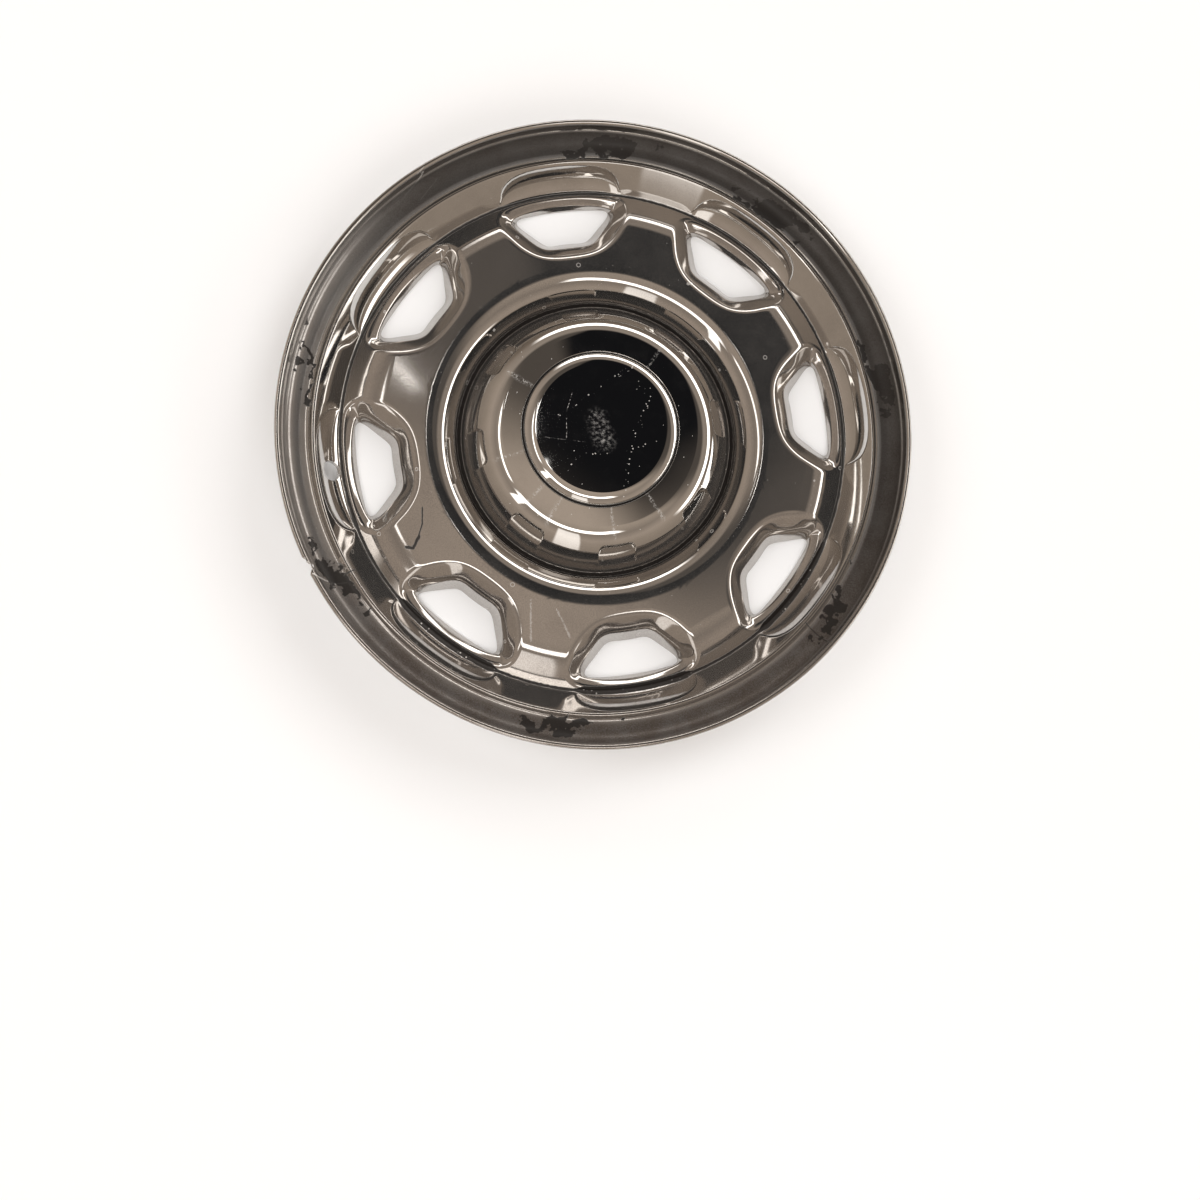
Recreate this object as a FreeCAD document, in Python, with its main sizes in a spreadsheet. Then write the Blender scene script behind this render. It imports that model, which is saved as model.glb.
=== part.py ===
"""Full-size chrome wheel cover for an eight-stud steel wheel, and its retaining ring.

The cover is one moulding. Its wheel-facing side lies down: the hems of the eight windows stand on
the ground at height 0, the wheel's axis is +Z and the show face looks up. The origin is the centre
of the footprint. Sizes are in millimetres and degrees, and are kept in the sheet.
"""
import FreeCAD, Part

import math
import os

import Sketcher

doc = FreeCAD.newDocument("wheel_cover")
sheet = doc.addObject("Spreadsheet::Sheet", "dims")
sheet.Label = "dims"

SIZES = [
    # the show face, from the hub's centre outwards: radius and height of each corner
    ("dome_top_height", 37.2),
    ("dome_mid_radius", 24.25),
    ("dome_round", 370.0),
    ("boss_edge_radius", 48.5),
    ("boss_edge_height", 34.2),
    ("boss_edge_round", 3.5),
    ("boss_seam_radius", 52.4),
    ("boss_seam_height", 30.6),
    ("hub_top_radius", 54.2),
    ("hub_top_height", 31.5),
    ("hub_edge_radius", 71.0),
    ("hub_edge_height", 30.1),
    ("hub_edge_round", 4.0),
    ("step_top_radius", 80.9),
    ("step_top_height", 22.6),
    ("step_low_radius", 81.7),
    ("step_low_height", 20.9),
    ("step_round", 0.6),
    ("groove_inner_radius", 91.9),
    ("groove_outer_radius", 94.8),
    ("groove_height", 3.4),
    ("groove_round", 1.2),
    ("crest_radius", 102.0),
    ("crest_height", 27.0),
    ("crest_round", 5.0),
    ("face_radius", 114.0),
    ("face_height", 18.8),
    ("face_round", 26.0),
    ("shoulder_radius", 152.0),
    ("shoulder_height", 17.0),
    ("shoulder_round", 36.0),
    ("gutter_radius", 169.3),
    ("gutter_height", 8.4),
    ("gutter_round", 1.5),
    ("ridge_radius", 187.4),
    ("ridge_height", 23.2),
    ("ridge_round", 2.0),
    ("trough_radius", 190.0),
    ("trough_height", 21.4),
    ("trough_round", 3.0),
    ("rim_inner_radius", 207.2),
    ("cove_round", 11.5),
    ("rim_top_height", 36.1),
    # the moulding's wall, and the rolled bead on its rim
    ("wall", 2.6),
    ("bead_radius", 1.9),
    ("bead_offset", 0.9),
    # the windows: opening at the hem, and how far the funnel spreads up to the show face
    ("window_count", 8.0),
    ("window_angle", 8.2),
    ("open_inner", 138.6),
    ("open_middle", 155.0),
    ("open_outer", 162.7),
    ("open_inner_half", 11.6),
    ("open_middle_half", 29.6),
    ("open_outer_half", 25.4),
    ("funnel_height", 24.0),
    ("funnel_inner_spread", 21.2),
    ("funnel_middle_spread", 5.2),
    ("funnel_outer_spread", 6.2),
    ("funnel_inner_half_spread", 4.4),
    ("funnel_middle_half_spread", 26.8),
    ("funnel_outer_half_spread", 41.3),
    ("window_inner_round", 9.0),
    ("window_middle_round", 6.0),
    ("window_outer_round", 5.5),
    ("flange_wall", 3.0),
    # the shallow scoop in the bowl's wall behind each window
    ("scoop_depth", 1.6),
    ("scoop_sweep", 28.0),
    ("scoop_edge", 1.6),
    # the flat-floored pocket over each wheel stud
    ("stud_circle_radius", 82.55),
    ("pocket_width", 25.6),
    ("pocket_inner_reach", 5.6),
    ("pocket_outer_reach", 12.0),
    ("pocket_floor_height", 12.0),
    ("pocket_round", 5.0),
    # the tyre valve's hole, square to the bowl's wall behind one window
    ("valve_hole_radius", 6.7),
    ("valve_along_wall", 7.6),
    ("valve_window", 4.0),
    # the break in the rim
    ("chip_angle", 206.1),
    ("chip_length", 12.6),
    ("chip_depth", 3.9),
    # the snap legs under the rim, and the spring ring that spreads them
    ("leg_count", 16.0),
    ("leg_inner_radius", 195.6),
    ("leg_thickness", 2.6),
    ("leg_width", 15.0),
    ("leg_foot_height", 3.0),
    ("leg_barb", 1.6),
    ("hook_reach", 3.6),
    ("hook_thickness", 2.8),
    ("nib_reach", 1.3),
    ("wire_radius", 2.0),
    ("ring_clearance", 0.1),
]
for row, (alias, value) in enumerate(SIZES, start=1):
    sheet.set("A%d" % row, alias)
    sheet.set("B%d" % row, str(value))
    sheet.setAlias("B%d" % row, alias)
doc.recompute()

# height of open air cut above the show face, and below the hems
AIR = 12.0
FULL_TURN = 360.0


def size(alias):
    """The number in one cell of the sheet."""
    return float(getattr(sheet, alias))


def cell(alias):
    """The same cell as an expression."""
    return "dims." + alias


def value_of(expression):
    """The number that an expression of cells stands for."""
    return float(sheet.evalExpression(expression))


def origin_feature(body, role):
    """A plane or axis of a body's own origin."""
    for feature in body.Origin.OriginFeatures:
        if feature.Role == role:
            return feature
    raise ValueError("no origin feature " + role)


def new_sketch(body, name, role, height="0", turn="0"):
    """A sketch on an origin plane, raised by a height and turned about the wheel's axis."""
    sketch = body.newObject("Sketcher::SketchObject", name)
    sketch.AttachmentSupport = [(origin_feature(body, role), "")]
    sketch.MapMode = "FlatFace"
    axis = FreeCAD.Vector(0, 0, 1) if role == "XY_Plane" else FreeCAD.Vector(0, 1, 0)
    sketch.AttachmentOffset = FreeCAD.Placement(
        FreeCAD.Vector(0, 0, value_of(height)), FreeCAD.Rotation(axis, value_of(turn)))
    if role == "XY_Plane":
        sketch.setExpression("AttachmentOffset.Base.z", height)
    sketch.setExpression("AttachmentOffset.Rotation.Angle", turn)
    return sketch


def bind_point(sketch, line, x, y):
    """Ties the start of a line to two expressions, measured from the sketch's origin."""
    for kind, expression in (("DistanceX", x), ("DistanceY", y)):
        number = value_of(expression)
        if abs(number) < 1e-9:
            axis = -2 if kind == "DistanceX" else -1
            sketch.addConstraint(Sketcher.Constraint("PointOnObject", line, 1, axis))
            continue
        if number > 0:
            constraint = Sketcher.Constraint(kind, -1, 1, line, 1, number)
        else:
            constraint = Sketcher.Constraint(kind, line, 1, -1, 1, -number)
            expression = "-(%s)" % expression
        index = sketch.addConstraint(constraint)
        sketch.setExpression("Constraints[%d]" % index, expression)


def draw_outline(sketch, corners):
    """A closed outline of straight lines; a corner is (x, y, round), each an expression or None."""
    places = [FreeCAD.Vector(value_of(x), value_of(y), 0) for x, y, _ in corners]
    count = len(corners)
    lines = []
    for index in range(count):
        lines.append(sketch.addGeometry(
            Part.LineSegment(places[index], places[(index + 1) % count]), False))
    for index in range(count):
        sketch.addConstraint(
            Sketcher.Constraint("Coincident", lines[index], 2, lines[(index + 1) % count], 1))
    for line, (x, y, _) in zip(lines, corners):
        bind_point(sketch, line, x, y)
    for line, (_, _, rounding) in zip(lines, corners):
        if rounding is None:
            continue
        sketch.fillet(line, 1, value_of(rounding), True, True)
        arc = max(i for i, g in enumerate(sketch.Geometry) if g.TypeId == "Part::GeomArcOfCircle")
        index = sketch.addConstraint(Sketcher.Constraint("Radius", arc, value_of(rounding)))
        sketch.setExpression("Constraints[%d]" % index, rounding)


def revolve(body, name, sketch, cut=False, sweep=None):
    """Turns a profile about the wheel's axis, all round or by a sweep centred on the sketch."""
    feature = body.newObject("PartDesign::Groove" if cut else "PartDesign::Revolution", name)
    feature.Profile = sketch
    feature.ReferenceAxis = (sketch, ["V_Axis"])
    if sweep is None:
        feature.Angle = FULL_TURN
    else:
        feature.Midplane = True
        feature.Angle = value_of(sweep)
        feature.setExpression("Angle", sweep)
    return feature


def pattern(body, name, original, count):
    """Repeats a feature evenly about the wheel's axis."""
    feature = body.newObject("PartDesign::PolarPattern", name)
    feature.Originals = [original]
    feature.Axis = (origin_feature(body, "Z_Axis"), [""])
    feature.Angle = FULL_TURN
    feature.Occurrences = int(value_of(count))
    feature.setExpression("Occurrences", count)
    body.Tip = feature
    doc.recompute()
    return feature


def face_corners():
    """Corners of the show face, from the axis to the top of the rim's inner side."""
    return [
        ("0", cell("dome_top_height"), None),
        (cell("dome_mid_radius"), cell("dome_top_height"), cell("dome_round")),
        (cell("boss_edge_radius"), cell("boss_edge_height"), cell("boss_edge_round")),
        (cell("boss_seam_radius"), cell("boss_seam_height"), None),
        (cell("hub_top_radius"), cell("hub_top_height"), None),
        (cell("hub_edge_radius"), cell("hub_edge_height"), cell("hub_edge_round")),
        (cell("step_top_radius"), cell("step_top_height"), cell("step_round")),
        (cell("step_low_radius"), cell("step_low_height"), cell("step_round")),
        (cell("groove_inner_radius"), cell("groove_height"), cell("groove_round")),
        (cell("groove_outer_radius"), cell("groove_height"), cell("groove_round")),
        (cell("crest_radius"), cell("crest_height"), cell("crest_round")),
        (cell("face_radius"), cell("face_height"), cell("face_round")),
        (cell("shoulder_radius"), cell("shoulder_height"), cell("shoulder_round")),
        (cell("gutter_radius"), cell("gutter_height"), cell("gutter_round")),
        (cell("ridge_radius"), cell("ridge_height"), cell("ridge_round")),
        (cell("trough_radius"), cell("trough_height"), cell("trough_round")),
        (cell("rim_inner_radius"), cell("trough_height"), cell("cove_round")),
        (cell("rim_inner_radius"), cell("rim_top_height"), None),
    ]


def offset_corners(corners, amount, closed):
    """Corners moved to the right of their way by a cell: a round on a left turn grows, others shrink."""
    places = [(value_of(x), value_of(y)) for x, y, _ in corners]
    count = len(places)
    moved = []
    for index, (x, y, rounding) in enumerate(corners):
        here = places[index]
        before = places[index - 1]
        after = places[(index + 1) % count]
        # an open outline starts level on the axis and ends upright
        if not closed and index == 0:
            before = (here[0] - 1.0, here[1])
        if not closed and index == count - 1:
            after = (here[0], here[1] + 1.0)
        first = normal_right(before, here)
        second = normal_right(here, after)
        spread = 1.0 + first[0] * second[0] + first[1] * second[1]
        left_turn = first[0] * second[1] - first[1] * second[0] > 0
        if rounding is not None:
            if left_turn:
                rounding = "%s + %s" % (rounding, cell(amount))
            elif value_of(rounding) > 1.2 * size(amount):
                rounding = "%s - %s" % (rounding, cell(amount))
            else:
                rounding = None
        if closed or index:
            x = "%s + %s * %.6f" % (x, cell(amount), (first[0] + second[0]) / spread)
        y = "%s + %s * %.6f" % (y, cell(amount), (first[1] + second[1]) / spread)
        moved.append((x, y, rounding))
    return moved


def back_corners():
    """Corners of the wall's back; the boss's seam is too fine to show through."""
    return offset_corners([c for c in face_corners() if "boss_seam" not in c[0]], "wall", closed=False)


def normal_right(start, end):
    """Unit normal on the right of the way from start to end."""
    dx, dy = end[0] - start[0], end[1] - start[1]
    length = math.hypot(dx, dy)
    return (dy / length, -dx / length)


def window_corners(low, grow):
    """One window's outline at its hem, or where the funnel ends above the face, X pointing outwards."""
    rows = []
    for place in ("inner", "middle", "outer"):
        along = cell("open_" + place)
        half = cell("open_%s_half" % place)
        if not low:
            outwards = 1.0 if place == "outer" else -1.0
            along += " + %s * %.1f" % (cell("funnel_%s_spread" % place), outwards)
            half += " + " + cell("funnel_%s_half_spread" % place)
        rows.append((along, half, cell("window_%s_round" % place)))
    right = [(x, "-(%s)" % half, rounding) for x, half, rounding in rows]
    corners = right + rows[::-1]
    return offset_corners(corners, "flange_wall", closed=True) if grow else corners


def cut_windows(body, grow):
    """Funnel-shaped windows; with grow, the room that their flanges take behind the wall."""
    # the funnel runs on in a straight line below its hem
    turn = cell("window_angle")
    low = new_sketch(body, "window_hem", "XY_Plane", "0", turn)
    draw_outline(low, window_corners(True, grow))
    high = new_sketch(body, "window_top", "XY_Plane", cell("funnel_height"), turn)
    draw_outline(high, window_corners(False, grow))
    doc.recompute()
    funnel = body.newObject("PartDesign::SubtractiveLoft", "window_funnel")
    funnel.Profile = low
    funnel.Sections = [high]
    funnel.Ruled = True
    doc.recompute()
    pattern(body, "windows", funnel, cell("window_count"))


def pocket_corners(grow):
    """Outline of a stud pocket: a rectangle, rounded on the hub's side, open towards the groove."""
    inner = "%s - %s" % (cell("stud_circle_radius"), cell("pocket_inner_reach"))
    outer = "%s + %s" % (cell("stud_circle_radius"), cell("pocket_outer_reach"))
    half = "%s / 2" % cell("pocket_width")
    corners = [
        (inner, "-" + half, cell("pocket_round")),
        (outer, "-" + half, None),
        (outer, half, None),
        (inner, half, cell("pocket_round")),
    ]
    return offset_corners(corners, "flange_wall", closed=True) if grow else corners


def cut_pockets(body, grow):
    """Flat-floored pockets over the wheel studs; with grow, the room for their walls."""
    floor = cell("pocket_floor_height")
    if grow:
        floor += " - " + cell("wall")
    sketch = new_sketch(body, "stud_pocket_outline", "XY_Plane", floor, cell("window_angle"))
    draw_outline(sketch, pocket_corners(grow))
    doc.recompute()
    pocket = body.newObject("PartDesign::Pocket", "stud_pocket")
    pocket.Profile = sketch
    pocket.Reversed = True
    pocket.Length = size("dome_top_height")
    pocket.setExpression("Length", cell("dome_top_height"))
    doc.recompute()
    pattern(body, "stud_pockets", pocket, cell("window_count"))


def bowl_wall_point(along, deep):
    """Expressions of a point on the bowl's wall: millimetres up from the gutter, and below the wall."""
    foot = (size("gutter_radius"), size("gutter_height"))
    head = (size("ridge_radius"), size("ridge_height"))
    below = normal_right(foot, head)
    way = (-below[1], below[0])
    return ("%s + (%s) * %.6f + (%s) * %.6f" % (cell("gutter_radius"), along, way[0], deep, below[0]),
            "%s + (%s) * %.6f + (%s) * %.6f" % (cell("gutter_height"), along, way[1], deep, below[1]))


def bowl_wall_length():
    """Slope length of the bowl's wall, as an expression."""
    return "sqrt((%s - %s)^2 + (%s - %s)^2)" % (
        cell("ridge_radius"), cell("gutter_radius"), cell("ridge_height"), cell("gutter_height"))


def cut_scoops(body, grow):
    """Shallow scoops in the bowl's wall behind the windows; with grow, the room for their backs."""
    deep = cell("scoop_depth")
    low_end = cell("scoop_edge")
    high_end = "%s - 2 * %s" % (bowl_wall_length(), cell("scoop_edge"))
    sweep = cell("scoop_sweep")
    if grow:
        deep += " + " + cell("wall")
        high_end += " + " + cell("wall")
        sweep += " + 2"
    air = "-%s" % cell("wall")
    corners = [bowl_wall_point(low_end, air), bowl_wall_point(low_end, deep),
               bowl_wall_point(high_end, deep), bowl_wall_point(high_end, air)]
    sketch = new_sketch(body, "scoop_section", "XZ_Plane", "0", cell("window_angle"))
    draw_outline(sketch, [(x, y, None) for x, y in corners])
    doc.recompute()
    scoop = revolve(body, "scoop", sketch, cut=True, sweep=sweep)
    doc.recompute()
    pattern(body, "scoops", scoop, cell("window_count"))


def make_back_form():
    """The space behind the moulding's wall."""
    body = doc.addObject("PartDesign::Body", "back_form")
    sketch = new_sketch(body, "back_profile", "XZ_Plane")
    corners = back_corners()
    outside = "%s + %s + %.1f" % (cell("rim_inner_radius"), cell("wall"), AIR)
    above = "%s + %.1f" % (cell("rim_top_height"), AIR)
    corners[-1] = (corners[-1][0], above, None)
    below = "-%.1f" % AIR
    corners += [(outside, above, None), (outside, below, None), ("0", below, None)]
    draw_outline(sketch, corners)
    doc.recompute()
    revolve(body, "back_space", sketch)
    doc.recompute()
    cut_windows(body, grow=True)
    cut_pockets(body, grow=True)
    cut_scoops(body, grow=True)
    return body


def add_bead(body):
    """The rolled bead on top of the rim."""
    sketch = new_sketch(body, "bead_section", "XZ_Plane")
    x = "%s + %s" % (cell("rim_inner_radius"), cell("bead_offset"))
    centre = FreeCAD.Vector(value_of(x), size("rim_top_height"), 0)
    circle = sketch.addGeometry(Part.Circle(centre, FreeCAD.Vector(0, 0, 1), size("bead_radius")), False)
    for kind, expression in (("DistanceX", x), ("DistanceY", cell("rim_top_height"))):
        index = sketch.addConstraint(Sketcher.Constraint(kind, -1, 1, circle, 3, value_of(expression)))
        sketch.setExpression("Constraints[%d]" % index, expression)
    index = sketch.addConstraint(Sketcher.Constraint("Radius", circle, size("bead_radius")))
    sketch.setExpression("Constraints[%d]" % index, cell("bead_radius"))
    doc.recompute()
    revolve(body, "rim_bead", sketch)
    doc.recompute()


def ring_radius():
    """Radius of the spring ring's centre line: the wire lies against the legs."""
    return "%s - %s - %s" % (cell("leg_inner_radius"), cell("wire_radius"), cell("ring_clearance"))


def ring_height():
    """Height of the spring ring's centre line: the wire lies on the legs' hooks."""
    return "%s + %s + %s + %s" % (
        cell("leg_foot_height"), cell("hook_thickness"), cell("wire_radius"), cell("ring_clearance"))


def add_legs(body):
    """Snap legs on the back of the trough, each with a hook and a nib that hold the spring ring."""
    inner = cell("leg_inner_radius")
    outer = "%s + %s" % (inner, cell("leg_thickness"))
    foot = cell("leg_foot_height")
    hook_top = "%s + %s" % (foot, cell("hook_thickness"))
    nib_low = "%s + %s + %s" % (ring_height(), cell("wire_radius"), cell("ring_clearance"))
    nib_high = "%s + 2 * %s" % (nib_low, cell("nib_reach"))
    root = "%s - %s / 3" % (cell("trough_height"), cell("wall"))
    barb_mid = "%s + %s" % (foot, cell("hook_thickness"))
    barb_top = "%s + 3 * %s" % (foot, cell("hook_thickness"))
    corners = [
        (outer, root), (inner, root), (inner, nib_high),
        ("%s - %s" % (inner, cell("nib_reach")), "%s + %s" % (nib_low, cell("nib_reach"))),
        (inner, nib_low), (inner, hook_top),
        ("%s - %s" % (inner, cell("hook_reach")), hook_top),
        ("%s - %s" % (inner, cell("hook_reach")), foot),
        (outer, foot),
        ("%s + %s" % (outer, cell("leg_barb")), barb_mid),
        (outer, barb_top),
    ]
    half_step = "%s + 180 / %s" % (cell("window_angle"), cell("leg_count"))
    sketch = new_sketch(body, "leg_section", "XZ_Plane", "0", half_step)
    draw_outline(sketch, [(x, y, None) for x, y in corners])
    doc.recompute()
    leg = body.newObject("PartDesign::Pad", "snap_leg")
    leg.Profile = sketch
    leg.Midplane = True
    leg.Length = size("leg_width")
    leg.setExpression("Length", cell("leg_width"))
    doc.recompute()
    pattern(body, "snap_legs", leg, cell("leg_count"))


def cut_valve_hole(body):
    """A round hole square to the bowl's wall, in the scoop behind one window."""
    x, y = bowl_wall_point(cell("valve_along_wall"), "4 * " + cell("wall"))
    below = normal_right((size("gutter_radius"), size("gutter_height")),
                         (size("ridge_radius"), size("ridge_height")))
    turn = size("window_angle") + FULL_TURN / size("window_count") * size("valve_window")
    about_axis = FreeCAD.Rotation(FreeCAD.Vector(0, 0, 1), turn)
    lean = math.degrees(math.atan2(-below[0], -below[1]))
    upright = FreeCAD.Rotation(FreeCAD.Vector(0, 1, 0), lean)
    hole = body.newObject("PartDesign::SubtractiveCylinder", "valve_hole")
    hole.Radius = size("valve_hole_radius")
    hole.setExpression("Radius", cell("valve_hole_radius"))
    hole.Height = 8 * size("wall")
    hole.setExpression("Height", "8 * " + cell("wall"))
    place = about_axis.multVec(FreeCAD.Vector(value_of(x), 0, value_of(y)))
    hole.Placement = FreeCAD.Placement(place, about_axis.multiply(upright))
    body.Tip = hole
    doc.recompute()


def break_rim(body):
    """The jagged break in the rim, cut straight through the lip."""
    outside = "%s + %s + %.1f" % (cell("rim_inner_radius"), cell("wall"), AIR)
    edge = "%s + %s + %s" % (cell("rim_inner_radius"), cell("bead_offset"), cell("bead_radius"))
    # depth of each tooth of the break, as a share of the whole, along its length
    teeth = [(-0.5, 0.0), (-0.36, 0.55), (-0.2, 0.42), (-0.06, 1.0), (0.1, 0.72), (0.24, 0.85), (0.5, 0.0)]
    corners = []
    for along, depth in teeth:
        corners.append(("%s - %s * %.2f" % (edge, cell("chip_depth"), depth),
                        "%s * %.2f" % (cell("chip_length"), along), None))
    corners.append((outside, "%s * 0.5" % cell("chip_length"), None))
    corners.append((outside, "%s * -0.5" % cell("chip_length"), None))
    sketch = new_sketch(body, "break_outline", "XY_Plane", "0", cell("chip_angle"))
    draw_outline(sketch, corners)
    doc.recompute()
    chip = body.newObject("PartDesign::Pocket", "rim_break")
    chip.Profile = sketch
    chip.Reversed = True
    chip.Length = size("rim_top_height") + AIR
    chip.setExpression("Length", "%s + %.1f" % (cell("rim_top_height"), AIR))
    doc.recompute()


def make_cover(back_form):
    """The moulded cover, from its show face to its snap legs."""
    body = doc.addObject("PartDesign::Body", "cover")
    body.Label = "wheel_cover"
    sketch = new_sketch(body, "face_profile", "XZ_Plane")
    outside = "%s + %s + %.1f" % (cell("rim_inner_radius"), cell("wall"), AIR / 2)
    corners = face_corners() + [(outside, cell("rim_top_height"), None), (outside, "0", None), ("0", "0", None)]
    draw_outline(sketch, corners)
    doc.recompute()
    revolve(body, "show_face", sketch)
    doc.recompute()
    cut_windows(body, grow=False)
    cut_pockets(body, grow=False)
    cut_scoops(body, grow=False)
    hollow = body.newObject("PartDesign::Boolean", "hollow_back")
    hollow.setObjects([back_form])
    hollow.Type = "Cut"
    doc.recompute()
    add_bead(body)
    add_legs(body)
    cut_valve_hole(body)
    break_rim(body)
    return body


def make_ring():
    """The spring-steel ring that the snap legs hold."""
    ring = doc.addObject("Part::Torus", "ring")
    ring.Label = "retaining_ring"
    ring.Radius1 = value_of(ring_radius())
    ring.setExpression("Radius1", ring_radius())
    ring.Radius2 = size("wire_radius")
    ring.setExpression("Radius2", cell("wire_radius"))
    ring.setExpression("Placement.Base.z", ring_height())
    doc.recompute()
    return ring


def check(parts):
    """Stops before anything is written if an object failed, or a sub-part isn't one sound solid."""
    for thing in doc.Objects:
        if "Invalid" in thing.State or "Error" in thing.State:
            raise RuntimeError("%s failed: %s" % (thing.Name, thing.State))
    for part in parts:
        shape = part.Shape
        if shape.isNull() or not shape.isValid():
            raise RuntimeError(part.Label + " has no sound shape")
        if len(shape.Solids) != 1:
            raise RuntimeError("%s has %d solids" % (part.Label, len(shape.Solids)))


def main():
    parts = [make_cover(make_back_form()), make_ring()]
    doc.recompute()
    check(parts)
    os.makedirs("parts", exist_ok=True)
    for part in parts:
        part.Shape.exportStep("parts/%s.step" % part.Label)
        print(part.Label, "volume %.0f mm3" % part.Shape.Volume, part.Shape.BoundBox)


main()
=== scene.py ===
import math
import random

import bmesh
import bpy
from mathutils import Matrix, Vector


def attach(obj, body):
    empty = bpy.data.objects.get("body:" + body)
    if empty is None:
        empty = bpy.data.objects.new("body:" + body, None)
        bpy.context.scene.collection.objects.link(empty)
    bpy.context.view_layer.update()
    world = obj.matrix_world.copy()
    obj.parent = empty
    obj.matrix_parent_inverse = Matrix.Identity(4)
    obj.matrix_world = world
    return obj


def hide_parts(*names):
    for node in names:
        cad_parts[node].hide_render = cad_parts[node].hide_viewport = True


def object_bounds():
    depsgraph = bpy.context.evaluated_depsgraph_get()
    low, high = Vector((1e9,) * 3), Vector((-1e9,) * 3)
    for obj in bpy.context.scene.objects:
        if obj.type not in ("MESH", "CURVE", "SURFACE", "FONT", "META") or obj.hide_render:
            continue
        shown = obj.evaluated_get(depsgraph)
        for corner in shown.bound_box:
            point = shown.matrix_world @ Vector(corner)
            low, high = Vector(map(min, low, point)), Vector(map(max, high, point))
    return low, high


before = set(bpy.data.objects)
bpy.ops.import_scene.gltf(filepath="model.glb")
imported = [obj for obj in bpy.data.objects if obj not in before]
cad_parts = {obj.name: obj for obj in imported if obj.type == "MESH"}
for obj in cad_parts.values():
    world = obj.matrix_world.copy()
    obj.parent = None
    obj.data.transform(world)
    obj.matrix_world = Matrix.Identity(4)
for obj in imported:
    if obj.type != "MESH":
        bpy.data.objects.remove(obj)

CAD_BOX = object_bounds()

bl_info = {
    "name": "Chrome wheel cover",
    "version": (1, 0, 0),
    "blender": (4, 5, 0),
    "location": "View3D > Sidebar > Wheel cover",
    "description": "Builds a worn chrome wheel cover, its retaining ring and a plain stage",
    "category": "Object",
}

# The meshes are worked out in millimetres and scaled to metres at the end.
MM = 0.001
WINDOWS = 8
SECTOR = math.tau / WINDOWS
# stations around the wheel in one window's sector
STATIONS = 30
# the first window stands this far round from the part's X axis
WINDOW_TURN = math.radians(8.2)

# Section of the show face: radius, height and rounding of each corner, from the axis to the rim.
FACE = (
    (0.0, 36.9, 0.0),
    (22.0, 36.9, 1500.0),
    (46.6, 36.2, 14.0),
    (50.2, 34.1, 1.2),
    (51.4, 30.9, 0.4),
    (52.6, 31.55, 0.6),
    (71.5, 30.1, 22.0),
    (80.9, 22.6, 0.5),
    (81.7, 20.9, 0.5),
    (91.9, 3.4, 1.2),
    (94.8, 3.4, 0.8),
    (101.2, 19.3, 21.0),
    (152.0, 17.0, 36.0),
    (172.8, 5.6, 1.5),
    (187.4, 23.3, 1.8),
    (191.4, 21.0, 7.0),
    (207.2, 21.4, 11.5),
    (207.2, 34.43, 0.0),
)
# Section of the wall's back; the fine seam, step and ridge don't show through it.
BACK = (
    (0.0, 34.3, 0.0),
    (24.1, 34.3, 370.0),
    (47.4, 31.5, 3.0),
    (53.0, 28.9, 3.0),
    (70.3, 27.5, 19.0),
    (79.1, 20.0, 2.0),
    (90.4, 0.9, 2.4),
    (96.7, 0.9, 2.0),
    (103.1, 16.7, 18.0),
    (151.4, 14.4, 33.4),
    (173.4, 2.3, 4.1),
    (188.0, 19.9, 3.0),
    (190.8, 18.8, 5.6),
    (209.8, 18.8, 14.1),
    (209.8, 35.25, 0.0),
)


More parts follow.
